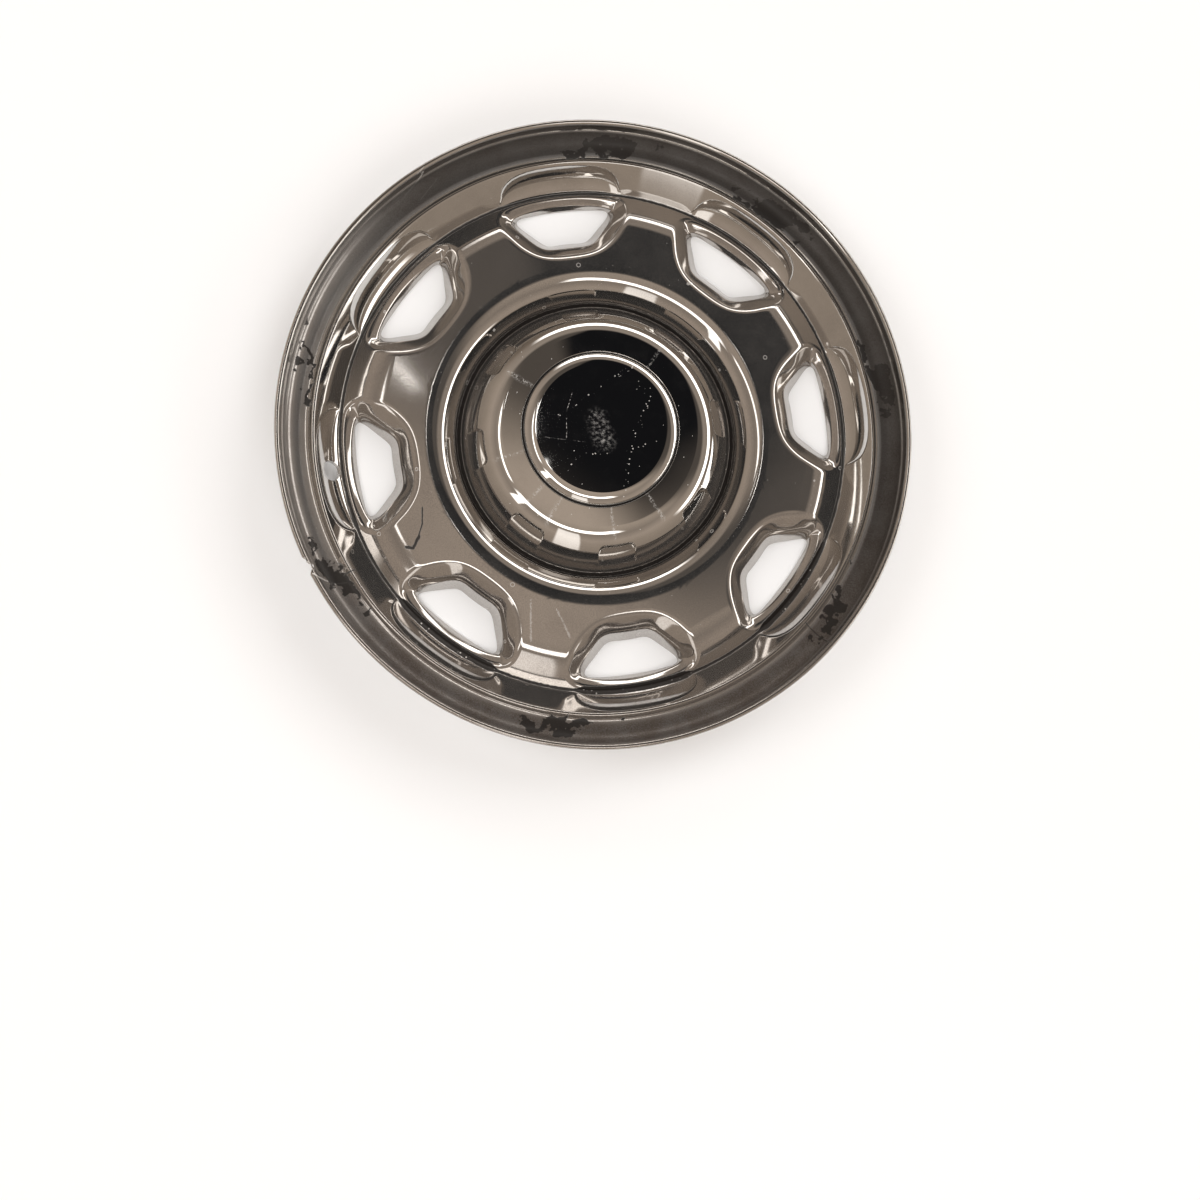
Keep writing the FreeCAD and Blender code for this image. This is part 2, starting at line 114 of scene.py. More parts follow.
class Section:
    """A radial section of straight runs and round corners, measured along its length."""

    def __init__(self, corners):
        self.parts = []
        start = Vector(corners[0][:2])
        for before, here, after in zip(corners, corners[1:], corners[2:]):
            corner = Vector(here[:2])
            way_in = (corner - Vector(before[:2])).normalized()
            way_out = (Vector(after[:2]) - corner).normalized()
            turn = way_in.angle_signed(way_out)
            reach = here[2] * math.tan(abs(turn) / 2)
            arc_start = corner - way_in * reach
            self.parts.append(("run", start, arc_start))
            if here[2] > 0 and abs(turn) > 1e-6:
                side = -1.0 if turn > 0 else 1.0
                centre = arc_start + Vector((-way_in.y, way_in.x)) * side * here[2]
                self.parts.append(("arc", centre, arc_start, -turn))
            start = corner + way_out * reach
        self.parts.append(("run", start, Vector(corners[-1][:2])))

    def points(self, low, high, run_step, arc_step):
        """Points between two radii, or to the end; steps are in millimetres and in radians."""
        found = []
        for part in self.parts:
            for point in self.part_points(part, run_step, arc_step):
                inside = point.x >= low - 1e-6 and (high is None or point.x <= high + 1e-6)
                if inside and (not found or (point - found[-1]).length > 1e-4):
                    found.append(point)
        start = Vector((low, self.height(low)))
        if (found[0] - start).length > 0.02:
            found.insert(0, start)
        if high is None:
            return found
        end = Vector((high, self.height(high)))
        if (found[-1] - end).length > 0.02:
            found.append(end)
        return found

    def part_points(self, part, run_step, arc_step):
        """Points along one run or one arc."""
        if part[0] == "run":
            _, start, end = part
            count = max(1, round((end - start).length / run_step))
            return [start.lerp(end, i / count) for i in range(count + 1)]
        _, centre, start, turn = part
        count = max(2, round(abs(turn) / arc_step))
        spoke = start - centre
        return [centre + Matrix.Rotation(turn * i / count, 2) @ spoke for i in range(count + 1)]

    def height(self, radius):
        """Height of the section at a radius, where it has only one."""
        for part in self.parts:
            if part[0] == "run":
                _, start, end = part
                if start.x - 1e-4 <= radius <= end.x + 1e-4 and end.x - start.x > 1e-9:
                    return start.y + (end.y - start.y) * (radius - start.x) / (end.x - start.x)
                continue
            _, centre, start, turn = part
            end = centre + Matrix.Rotation(turn, 2) @ (start - centre)
            if start.x - 1e-4 <= radius <= end.x + 1e-4:
                rise = math.sqrt(max((start - centre).length_squared - (radius - centre.x) ** 2, 0.0))
                return centre.y + (rise if start.y > centre.y else -rise)
        raise ValueError("the section has no height at radius %.2f" % radius)

    def normal(self, radius):
        """The section's normal at a radius, towards the show side."""
        step = 0.05
        rise = self.height(radius + step) - self.height(radius - step)
        return Vector((-rise, 2 * step)).normalized()


FRONT_SECTION = Section(FACE)
BACK_SECTION = Section(BACK)


def smooth_step(value):
    """0 below 0, 1 above 1, and an even slope between."""
    value = min(max(value, 0.0), 1.0)
    return value * value * (3 - 2 * value)


def mirrored(half_angles):
    """Angles of one full turn, from those of half a sector."""
    sector = [-a for a in half_angles[:0:-1]] + list(half_angles)
    return [k * SECTOR + a for k in range(WINDOWS) for a in sector[:-1]]


# Stations around the hub crowd at the sides of the stud pockets, and around the rim at the ends of
# the scoops. Each list is half a sector, in millimetres along the circle that it is measured on.
HUB_STATIONS = (0, 2.1, 4.2, 6.2, 8.0, 9.6, 10.8, 11.7, 12.3, 12.75, 13.3, 14.8, 17.6, 21.6, 26.4, 32.2)
RIM_STATIONS = (0, 7, 14, 20.5, 26.5, 31.5, 35.5, 38, 39.8, 41.2, 42.5, 44.3, 48.5, 54.5, 62, 69.9)
HUB_ANGLES = mirrored([s / HUB_STATIONS[-1] * SECTOR / 2 for s in HUB_STATIONS])
RIM_ANGLES = mirrored([s / RIM_STATIONS[-1] * SECTOR / 2 for s in RIM_STATIONS])


# a turned surface closes on a ring this small, which the merging of doubles makes one point
POLE = 0.005


def polar(radius, angle, height):
    """A place from its radius and angle about the wheel's axis."""
    return Vector((radius * math.cos(angle), radius * math.sin(angle), height))


def new_loop(bm, places):
    """A closed loop of edges through the places."""
    loop = bmesh.ops.create_circle(bm, cap_ends=False, radius=1.0, segments=len(places))["verts"]
    for vert, place in zip(loop, places):
        vert.co = place
    return loop


def grow_loop(bm, loop, places):
    """Extrudes a loop into faces and moves the new edge to the places."""
    edges = [bm.edges.get((a, b)) for a, b in zip(loop, loop[1:] + loop[:1])]
    grown = bmesh.ops.extrude_edge_only(bm, edges=edges)["geom"]
    fresh = {item for item in grown if isinstance(item, bmesh.types.BMVert)}
    following = []
    for vert in loop:
        following.append(next(e.other_vert(vert) for e in vert.link_edges if e.other_vert(vert) in fresh))
    for vert, place in zip(following, places):
        vert.co = place
    return following


def loft_rows(bm, rows):
    """Faces through rows of places, each row a closed loop; gives back the last loop."""
    loop = new_loop(bm, rows[0])
    for row in rows[1:]:
        loop = grow_loop(bm, loop, row)
    return loop


def turned_rows(points, angles):
    """Rows of a turned surface from the points of its section."""
    return [[polar(max(p.x, POLE), a, p.y) for a in angles] for p in points]


def pocket_rows(section, low, high, hub_side, half, corner, floor, meet, step):
    """Rows of the hub's flank with a shallow stud pocket behind each window.

    A pocket is bounded by its hub side, two parallel sides and the line where its sloping floor meets
    the flank. The fine step runs round the flank between the pockets.
    """
    scale = half / 12.8
    lateral = [s * scale if i < 11 else s for i, s in enumerate(HUB_STATIONS)]
    lateral[11] = (lateral[10] + lateral[12]) / 2
    middle = STATIONS // 2
    columns = []
    for index in range(-middle, middle):
        place = abs(index)
        columns.append(pocket_column(section, low, high, hub_side, half, corner, floor, meet, step,
                                     lateral[place], place))
    rows = []
    for row in range(len(columns[0])):
        places = []
        for k in range(WINDOWS):
            for index, column in zip(range(-middle, middle), columns):
                radius, height = column[row]
                angle = HUB_ANGLES[index + middle]
                drift = min(smooth_step((radius - low) / 2.5), smooth_step((high - radius) / 2.0))
                straight = math.asin(min(lateral[abs(index)] / radius, 1.0)) * (1 if index > 0 else -1)
                if abs(index) == middle or index == 0:
                    straight = angle
                places.append(polar(radius, k * SECTOR + angle + (straight - angle) * drift, height))
        rows.append(places)
    return rows


def pocket_column(section, low, high, hub_side, half, corner, floor, meet, step, lateral, place):
    """Radius and height down one column of the flank; the first nine places lie in the pocket."""
    in_pocket = place <= 8

    def floor_at(radius):
        share = (radius - hub_side) / (meet - hub_side)
        return floor + (section.height(meet) - floor) * share

    if in_pocket:
        past = max(lateral - (half - corner), 0.0)
        top = hub_side + corner - math.sqrt(max(corner ** 2 - past ** 2, 0.0))
        top = min(top, step - 0.6)
        edge = section.height(top)
        column = [(low + (top - 0.6 - low) * i / 4, None) for i in range(5)]
        column += [(top - 0.15, section.height(top - 0.15) - 0.06), (top + 0.05, edge - 0.45),
                   (top + 0.45, min(floor_at(top + 0.45) + 0.3, edge - 0.8)),
                   (top + 0.9, floor_at(top + 0.9))]
    else:
        column = [(low + (step - 0.9 - low) * i / 4, None) for i in range(5)]
        column += [(step - 0.5, None), (step - 0.15, None), (step + 0.2, None), (step + 0.6, None)]
    start = column[-1][0]
    column += [(start + (meet - 0.5 - start) * i / 5, None) for i in range(1, 6)]
    column += [(meet, None), (meet + 0.5, None), (meet + 1.3, None), (high - 0.9, None), (high, None)]
    filled = []
    for number, (radius, height) in enumerate(column):
        if height is None:
            height = section.height(radius)
            if number > 8 and in_pocket:
                height = min(height, floor_at(radius))
            if number > 8 and place == 9:
                height = max(min(height, floor_at(radius)), height - 0.35)
        filled.append((radius, height))
    return filled


# Points that pull the smooth half outlines of a window, those of one facing those of the other: radius,
# and millimetres along WINDOW_CIRCLE.
WINDOW_CIRCLE = 160.0
RECESS = ((122.7, 0), (123.1, 11), (125.4, 22.5), (130.3, 32), (139.2, 40.4), (150.5, 44.8), (161, 45.2),
          (168.2, 40.5), (169.7, 30), (169.2, 0))
OPENING = ((138.6, 0), (138.6, 7.5), (138.4, 14.5), (141.5, 19.5), (148, 24.8), (154.5, 30.2), (160.5, 33.5),
           (163.6, 30.5), (163.2, 24), (162.6, 0))
HALF_STEPS = 54


def pulled_curve(points, steps):
    """Places on the smooth curve that the points of a mirrored half outline pull towards them."""
    before = (points[1][0], -points[1][1])
    after = (points[-2][0], -points[-2][1])
    pulls = [Vector(point) for point in (before, *points, after)]
    curve = []
    for a, b, c, d in zip(pulls, pulls[1:], pulls[2:], pulls[3:]):
        for step in range(steps):
            t = step / steps
            curve.append((a * (1 - t) ** 3 + b * (3 * t ** 3 - 6 * t ** 2 + 4)
                          + c * (1 + 3 * t + 3 * t ** 2 - 3 * t ** 3) + d * t ** 3) / 6)
    a, b, c = pulls[-3:]
    curve.append((a + b * 4 + c) / 6)
    return curve


def outward_ways(loop):
    """The level direction square to a window's outline and away from the window, at each place."""
    ways = []
    for index in range(len(loop)):
        way = (loop[(index + 1) % len(loop)] - loop[index - 1]).normalized()
        ways.append(Vector((-way.y, way.x, 0.0)))
    return ways


def window_loop(half_outline, grow=0.0):
    """A window's closed outline about its own middle line, as places at height 0."""
    curve = pulled_curve(half_outline, HALF_STEPS // (len(half_outline) - 1))
    half = [polar(p.x, p.y / WINDOW_CIRCLE, 0.0) for p in curve]
    loop = half + [Vector((p.x, -p.y, 0.0)) for p in half[-2:0:-1]]
    return [place + way * grow for place, way in zip(loop, outward_ways(loop))]


def sector_loop(low, high):
    """The outline of one window's sector of the face, matched step by step to a window's outline."""
    middle = STATIONS // 2
    side_steps = HALF_STEPS - STATIONS
    inner = [polar(low, HUB_ANGLES[middle + i], 0.0) for i in range(middle)]
    inner.append(polar(low, SECTOR / 2, 0.0))
    side = [polar(low + (high - low) * i / side_steps, SECTOR / 2, 0.0) for i in range(1, side_steps)]
    outer = [polar(high, SECTOR / 2, 0.0)]
    outer += [polar(high, RIM_ANGLES[middle + i], 0.0) for i in range(middle - 1, -1, -1)]
    half = inner + side + outer
    return half + [Vector((p.x, -p.y, 0.0)) for p in half[-2:0:-1]]


def bend(before, corner, after, shares):
    """Places on a round corner between two points."""
    return [before.lerp(corner, s).lerp(corner.lerp(after, s), s) for s in shares]


def window_rows(section, low, high, recess, opening, reach, foot):
    """Rows of one sector of the face, from its outline over the rounded recess edge and down the flange.

    The flange falls gently from the edge to a crease, and steeply from there to its foot.
    """
    rows = [[] for _ in range(26)]
    for corner, edge, hem, out in zip(sector_loop(low, high), recess, opening, outward_ways(recess)):
        outward = max(out.dot(edge.normalized()), 0.2)
        room = (high - 0.3 - edge.length) / outward if outward > 0.2 else reach
        lead = edge + out * min(reach, room)
        places = []
        for share in (0.0, 0.16, 0.33, 0.5, 0.67, 0.82, 0.93, 1.0):
            place = corner.lerp(lead, share)
            places.append(Vector((place.x, place.y, section.height(place.length))))
        top = Vector((edge.x, edge.y, section.height(edge.length)))
        bottom = Vector((hem.x, hem.y, foot))
        crease = top - out * (edge - hem).length * 0.64
        crease.z = top.z + (foot - top.z) * 0.46
        slope = crease - top
        turn_end = top + slope.normalized() * min(reach, slope.length / 3)
        places += bend(places[7], top, turn_end, (0.17, 0.34, 0.5, 0.66, 0.83, 1.0))
        round_start = crease.lerp(top, 0.22)
        round_end = crease.lerp(bottom, 0.35)
        places += [turn_end.lerp(round_start, 0.33), turn_end.lerp(round_start, 0.67)]
        places += bend(round_start, crease, round_end, (0.0, 0.25, 0.5, 0.75, 1.0))
        places += [round_end.lerp(bottom, 0.5), round_end.lerp(bottom, 0.88), bottom]
        places.append(bottom - out * 0.25 + Vector((0, 0, -0.3)))
        places.append(bottom - out * 0.35 + Vector((0, 0, -foot * 0.7)))
        for row, place in zip(rows, places):
            row.append(place)
    return rows


def bowl_rows(section, low, high, depth):
    """Rows from the gutter up the bowl's wall and over the ridge, with a scoop behind each window."""
    wall = next(i for i, p in enumerate(section.parts)
                if p[0] == "run" and BOWL_START[0] < p[1].x < BOWL_START[1])
    _, start, end = section.parts[wall]
    way = (end - start).normalized()
    below = Vector((way.y, -way.x))
    length = (end - start).length
    gutter = section.part_points(section.parts[wall - 1], 1.0, 0.19)
    gutter = [p for p in gutter if p.x > low + 0.1]
    ridge = section.part_points(section.parts[wall + 1], 1.0, 0.16)
    ridge = [p for p in ridge[1:] if p.x < high - 0.05]
    half_width = 42.8
    plain_edge = 0.8
    columns = []
    middle = STATIONS // 2
    for index in range(-middle, middle):
        share = RIM_STATIONS[abs(index)] / half_width
        edge = plain_edge
        deep = 0.0
        if share < 1:
            edge += (length - 1.3 - plain_edge) * (1 - share ** 4.5) ** 0.5
            deep = depth * (1 - share ** 3.0) ** 0.6 * smooth_step((edge - plain_edge) / 6)
        column = [Vector((low, section.height(low)))]
        for number, point in enumerate(gutter[:-1]):
            column.append(point + below * deep * 0.55 * (number / (len(gutter) - 1)) ** 1.4)
        for part in (0.0, 0.15, 0.32, 0.5, 0.66, 0.8, 0.9, 0.96, 1.0):
            hollow = 1 - ((part - 0.4) / 0.6) ** 2
            column.append(start + way * edge * part + below * deep * hollow)
        for part in (0.2, 0.6, 1.0):
            column.append(start + way * (edge + (length - edge) * part))
        column.extend(ridge)
        column.append(Vector((high, section.height(high))))
        columns.append(column)
    rows = []
    for row in range(len(columns[0])):
        places = []
        for k in range(WINDOWS):
            for index, column in enumerate(columns):
                angle = RIM_ANGLES[k * STATIONS + index]
                places.append(polar(column[row].x, angle, column[row].y))
        rows.append(places)
    return rows


BEAD_CENTRE = Vector((208.1, 36.1))
BEAD_RADIUS = 1.9
RIM_JOIN = 189.0


def rim_points():
    """Section of the lip, from its trough over the rolled bead and down the back again."""
    front = FRONT_SECTION.points(RIM_JOIN, None, 3.0, 0.11)
    back = BACK_SECTION.points(RIM_JOIN, None, 4.0, 0.16)
    first = (front[-1] - BEAD_CENTRE).angle_signed(Vector((1.0, 0.0)))
    last = (back[-1] - BEAD_CENTRE).angle_signed(Vector((1.0, 0.0)))
    first %= math.tau
    steps = 16
    bead = []
    for step in range(1, steps):
        angle = first + (last - first) * step / steps
        bead.append(BEAD_CENTRE + Vector((math.cos(angle), math.sin(angle))) * BEAD_RADIUS)
    return front + bead + back[::-1]


def sector_copies(bm, rows):
    """A window's sector, turned into its place behind each window."""
    mark = len(bm.faces)
    loft_rows(bm, rows)
    bm.faces.ensure_lookup_table()
    faces = bm.faces[mark:]
    bmesh.ops.spin(bm, geom=faces, cent=(0, 0, 0), axis=(0, 0, 1), angle=SECTOR * (WINDOWS - 1),
                   steps=WINDOWS - 1, use_duplicate=True)


# outer radii of the boss, the hub and the pierced face; the rim lies outside them
ZONES = (51.5, 93.4, 171.5)
FACE_JOIN = 113.0
GUTTER_JOIN = 171.3
SCOOP_DEPTH = 2.4
# the bowl's wall starts between these radii
BOWL_START = (171, 178)
# radii between which the plating mirrors by the section's own normals
BOSS_MIRROR = (1.0, 43.0)
FACE_MIRROR = (53.0, GUTTER_JOIN)
# edges sharper than these angles, in degrees, stay sharp
COVER_SHARP = 38.0
LEG_SHARP = 40.0


def model_front(bm):
    """The show face, from the boss to the ridge."""
    hub_end, groove_start = 72.3, 90.9
    loft_rows(bm, turned_rows(FRONT_SECTION.points(0.0, hub_end, 3.2, 0.11), HUB_ANGLES))
    loft_rows(bm, pocket_rows(FRONT_SECTION, hub_end, groove_start, hub_side=77.0, half=12.8, corner=5.0,
                              floor=23.4, meet=88.2, step=81.3))
    loft_rows(bm, turned_rows(FRONT_SECTION.points(groove_start, FACE_JOIN, 2.4, 0.11), HUB_ANGLES))
    recess = window_loop(RECESS)
    opening = window_loop(OPENING)
    rows = window_rows(FRONT_SECTION, FACE_JOIN, GUTTER_JOIN, recess, opening, reach=3.0, foot=1.2)
    hem = [Vector((p.x, p.y, 0.0)) for p in rows[-1]]
    sector_copies(bm, rows + [hem])
    loft_rows(bm, bowl_rows(FRONT_SECTION, GUTTER_JOIN, RIM_JOIN, SCOOP_DEPTH))
    return hem


def model_back(bm, hem):
    """The wall's back, from the gutter's back to the boss's; its flanges end at the same hem."""
    hub_end, groove_start = 71.3, 89.2
    loft_rows(bm, turned_rows(BACK_SECTION.points(0.0, hub_end, 6.0, 0.2), HUB_ANGLES))
    loft_rows(bm, pocket_rows(BACK_SECTION, hub_end, groove_start, hub_side=74.2, half=15.6, corner=7.5,
                              floor=22.4, meet=86.2, step=79.1))
    loft_rows(bm, turned_rows(BACK_SECTION.points(groove_start, FACE_JOIN, 4.0, 0.2), HUB_ANGLES))
    recess = window_loop(RECESS, 0.9)
    opening = window_loop(OPENING, 2.6)
    rows = window_rows(BACK_SECTION, FACE_JOIN, GUTTER_JOIN, recess, opening, reach=1.0, foot=0.6)
    bare = [row for number, row in enumerate(rows) if number in (0, 2, 4, 7, 9, 11, 13, 15, 16, 18, 20, 23)]
    flat = [Vector((p.x, p.y, 0.0)) for p in opening]
    sector_copies(bm, bare + [flat, hem])
    loft_rows(bm, bowl_rows(BACK_SECTION, GUTTER_JOIN, RIM_JOIN, SCOOP_DEPTH))


def model_cover(bm):
    """The whole moulding as one closed shell; its materials follow ZONES, and the back's comes next."""
    hem = model_front(bm)
    shown = len(bm.faces)
    model_back(bm, hem)
    hidden = len(bm.faces)
    section = rim_points()
    loft_rows(bm, turned_rows(section, RIM_ANGLES))
    bm.faces.ensure_lookup_table()
    outermost = max(range(len(section)), key=lambda index: section[index].x)
    turn_over = hidden + outermost * len(RIM_ANGLES)
    for face in bm.faces:
        is_back = shown <= face.index < hidden or face.index >= turn_over
        middle = face.calc_center_median().xy.length
        zone = sum(middle > edge for edge in ZONES)
        face.material_index = len(ZONES) + 1 if is_back else zone
    bmesh.ops.remove_doubles(bm, verts=bm.verts, dist=0.03)
    bmesh.ops.recalc_face_normals(bm, faces=bm.faces)
    bmesh.ops.rotate(bm, verts=bm.verts, cent=(0, 0, 0), matrix=Matrix.Rotation(WINDOW_TURN, 3, "Z"))


def model_valve_cutter(bm, diameter):
    """A rod through the bowl's wall, square to it, behind the window on the left."""
    wall_start, wall_end = Vector(FACE[13][:2]), Vector(FACE[14][:2])
    way = (wall_end - wall_start).normalized()
    middle = wall_start + way * VALVE_ALONG_WALL
    lean = Matrix.Rotation(math.atan2(-way.y, way.x), 4, "Y")
    turn = Matrix.Rotation(WINDOW_TURN + SECTOR * VALVE_WINDOW, 4, "Z")
    place = turn @ Matrix.Translation((middle.x, 0.0, middle.y)) @ lean
    bmesh.ops.create_cone(bm, cap_ends=True, segments=48, radius1=diameter / 2, radius2=diameter / 2,
                          depth=24.0, matrix=place)


def model_break_cutter(bm, length, depth):
    """A jagged block that takes the break out of the rim; its teeth wander from the top to the bottom."""
    outline = [(RIM_RADIUS - depth * share, length * along) for along, share in BREAK_TEETH]
    outline += [(RIM_RADIUS + 4.0, length / 2), (RIM_RADIUS + 4.0, -length / 2)]
    chance = random.Random(5)
    rows = []
    for height in (24.0, 30.0, 31.8, 33.4, 35.0, 36.4, 42.0):
        row = []
        for index, (radius, along) in enumerate(outline):
            wander = 0.55 if 0 < index < len(BREAK_TEETH) - 1 else 0.0
            row.append(Vector((radius + chance.uniform(-wander, wander),
                               along + chance.uniform(-wander, wander), height)))
        rows.append(row)
    loft_rows(bm, rows)
    bmesh.ops.holes_fill(bm, edges=[edge for edge in bm.edges if edge.is_boundary])
    bmesh.ops.recalc_face_normals(bm, faces=bm.faces)
    bmesh.ops.rotate(bm, verts=bm.verts, cent=(0, 0, 0), matrix=Matrix.Rotation(BREAK_TURN, 3, "Z"))


def model_legs(bm, width):
    """Snap legs round the back of the lip, each with a hook and a nib for the spring ring."""
    leg = bmesh.ops.create_circle(bm, cap_ends=True, segments=len(LEG_SECTION), radius=1.0)["verts"]
    for vert, (radius, height) in zip(leg, LEG_SECTION):
        vert.co = (radius, -width / 2, height)
    grown = bmesh.ops.extrude_face_region(bm, geom=bm.faces[:])["geom"]
    far_side = [item for item in grown if isinstance(item, bmesh.types.BMVert)]
    bmesh.ops.translate(bm, verts=far_side, vec=(0, width, 0))
    bmesh.ops.recalc_face_normals(bm, faces=bm.faces)
    bmesh.ops.bevel(bm, geom=bm.edges[:], offset=0.28, offset_type="OFFSET", affect="EDGES", segments=2,
                    profile=0.5, material=-1)
    first = WINDOW_TURN + math.pi / LEGS
    bmesh.ops.rotate(bm, verts=bm.verts, cent=(0, 0, 0), matrix=Matrix.Rotation(first, 3, "Z"))
    bmesh.ops.spin(bm, geom=bm.faces[:], cent=(0, 0, 0), axis=(0, 0, 1),
                   angle=math.tau * (LEGS - 1) / LEGS, steps=LEGS - 1, use_duplicate=True)


VALVE_ALONG_WALL = 7.0
VALVE_WINDOW = 4
RIM_RADIUS = 210.0
BREAK_TURN = math.radians(206.1)
# place along the break's length and share of its depth, tooth by tooth
BREAK_TEETH = ((-0.5, 0.0), (-0.36, 0.55), (-0.2, 0.42), (-0.06, 1.0), (0.1, 0.72), (0.24, 0.85), (0.5, 0.0))
LEGS = 16
# a snap leg's outline: radius and height
LEG_SECTION = ((198.2, 20.5), (195.6, 20.5), (195.6, 12.6), (194.3, 11.3), (195.6, 10.0), (195.6, 5.8),
               (192.0, 5.8), (192.0, 3.0), (198.2, 3.0), (199.8, 5.8), (198.2, 11.4))


def new_piece(name, model, *sizes):
    """An object at the origin from a function that models it in millimetres."""
    bm = bmesh.new()
    model(bm, *sizes)
    bmesh.ops.scale(bm, vec=(MM, MM, MM), verts=bm.verts)
    mesh = bpy.data.meshes.new(name)
    bm.to_mesh(mesh)
    bm.free()
    piece = bpy.data.objects.new(name, mesh)
    bpy.context.scene.collection.objects.link(piece)
    return piece


def settle(piece):
    """Puts what the piece's modifiers make into its mesh."""
    graph = bpy.context.evaluated_depsgraph_get()
    shaped = bpy.data.meshes.new_from_object(piece.evaluated_get(graph))
    piece.modifiers.clear()
    worked = piece.data
    piece.data = shaped
    bpy.data.meshes.remove(worked)
    shaped.name = piece.name


def cut_out(piece, cutter):
    """Cuts the cutter's shape out of the piece; the cut faces take the cutter's material."""
    tool = piece.modifiers.new("cut", "BOOLEAN")
    tool.operation = "DIFFERENCE"
    tool.solver = "EXACT"
    tool.material_mode = "TRANSFER"
    tool.object = cutter
    settle(piece)
    bpy.data.objects.remove(cutter)


def smooth_over(piece, sharp_degrees):
    """Shades smooth up to an angle; large faces set the shading of the small ones beside them."""
    piece.data.shade_smooth()
    piece.data.set_sharp_from_angle(angle=math.radians(sharp_degrees))
    weighted = piece.modifiers.new("weighted", "WEIGHTED_NORMAL")
    weighted.mode = "FACE_AREA"
    weighted.keep_sharp = True
    settle(piece)


def even_mirror(piece, low, high):
    """Gives the turned show face between two radii its section's own normals."""
    mesh = piece.data
    normals = [corner.vector.copy() for corner in mesh.corner_normals]
    exact = {}
    for vert in mesh.vertices:
        place = vert.co / MM
        radius = place.xy.length
        if low < radius < high and abs(place.z - FRONT_SECTION.height(radius)) < 0.01:
            lean = FRONT_SECTION.normal(radius)
            outward = place.xy.normalized() * lean.x
            exact[vert.index] = Vector((outward.x, outward.y, lean.y))
    for loop in mesh.loops:
        true = exact.get(loop.vertex_index)
        if true is not None and true.dot(normals[loop.index]) > 0.96:
            normals[loop.index] = true
    mesh.normals_split_custom_set(normals)


class Shade:
    """A socket of a node tree. Sums on it add Math nodes, and node() adds any other kind."""

    def __init__(self, tree, socket):
        self.tree = tree
        self.socket = socket

    @classmethod
    def node(cls, tree, kind, settings=None, sockets=None, output=0):
        """Adds a node: its settings are set first, then the values or links of its sockets."""
        made = tree.nodes.new(kind)
        for name, value in (settings or {}).items():
            if name == "stops":
                while len(made.color_ramp.elements) < len(value):
                    made.color_ramp.elements.new(1.0)
                for element, (place, colour) in zip(made.color_ramp.elements, value):
                    element.position = place
                    element.color = (*colour, 1.0)
            else:
                setattr(made, name, value)
        for name, value in (sockets or {}).items():
            if isinstance(value, Shade):
                tree.links.new(value.socket, made.inputs[name])
            else:
                made.inputs[name].default_value = value
        return cls(tree, made.outputs[output] if made.outputs else None)

    def math(self, operation, *values):
        """A Math node on this value and the others."""
        sockets = dict(enumerate((self, *values)))
        return Shade.node(self.tree, "ShaderNodeMath", {"operation": operation}, sockets)

    def __add__(self, other):
        return self.math("ADD", other)

    __radd__ = __add__

    def __sub__(self, other):
        return self.math("SUBTRACT", other)

    def __rsub__(self, other):
        return Shade.node(self.tree, "ShaderNodeMath", {"operation": "SUBTRACT"}, {0: other, 1: self})

    def __mul__(self, other):
        return self.math("MULTIPLY", other)

    __rmul__ = __mul__

    def __truediv__(self, other):
        return self.math("DIVIDE", other)

    def vector(self, operation, other=None, output=0):
        """A Vector Math node on this vector and another."""
        sockets = {0: self}
        if other is not None:
            sockets[1] = other
        return Shade.node(self.tree, "ShaderNodeVectorMath", {"operation": operation}, sockets, output)

    def span(self, low, high, start=0.0, end=1.0):
        """start at low and below, end at high and above, with a smooth change between."""
        return Shade.node(self.tree, "ShaderNodeMapRange", {"interpolation_type": "SMOOTHSTEP"},
                          {"Value": self, "From Min": low, "From Max": high, "To Min": start, "To Max": end})

    def blend(self, first, second):
        """A colour that goes from the first to the second as this value goes from 0 to 1."""
        return Shade.node(self.tree, "ShaderNodeMix", {"data_type": "RGBA"},
                          {0: self, 6: opaque(first), 7: opaque(second)}, 2)


def opaque(colour):
    """A colour socket as it is, or three numbers with a fourth for the socket."""
    return colour if isinstance(colour, Shade) else (*colour, 1.0)


def new_material(name):
    """An empty node material, and its tree."""
    material = bpy.data.materials.new(name)
    material.use_nodes = True
    material.node_tree.nodes.clear()
    return material, material.node_tree


def show(tree, shader):
    """Sends a shader to the material's surface."""
    Shade.node(tree, "ShaderNodeOutputMaterial", None, {"Surface": shader})


def place_in_mm(tree):
    """A piece's own coordinates in millimetres."""
    place = Shade.node(tree, "ShaderNodeTexCoord", None, None, 3)
    return place.vector("MULTIPLY", (1 / MM, 1 / MM, 1 / MM))


def noise(place, size, detail=2.0, rough=0.5):
    """Noise from 0 to 1 whose features are about as large as the size in millimetres."""
    return Shade.node(place.tree, "ShaderNodeTexNoise", None,
                      {"Vector": place, "Scale": 1 / size, "Detail": detail, "Roughness": rough})


def cells(place, size):
    """Distance to the nearest of scattered points that lie about the size apart."""
    return Shade.node(place.tree, "ShaderNodeTexVoronoi", None, {"Vector": place, "Scale": 1 / size})


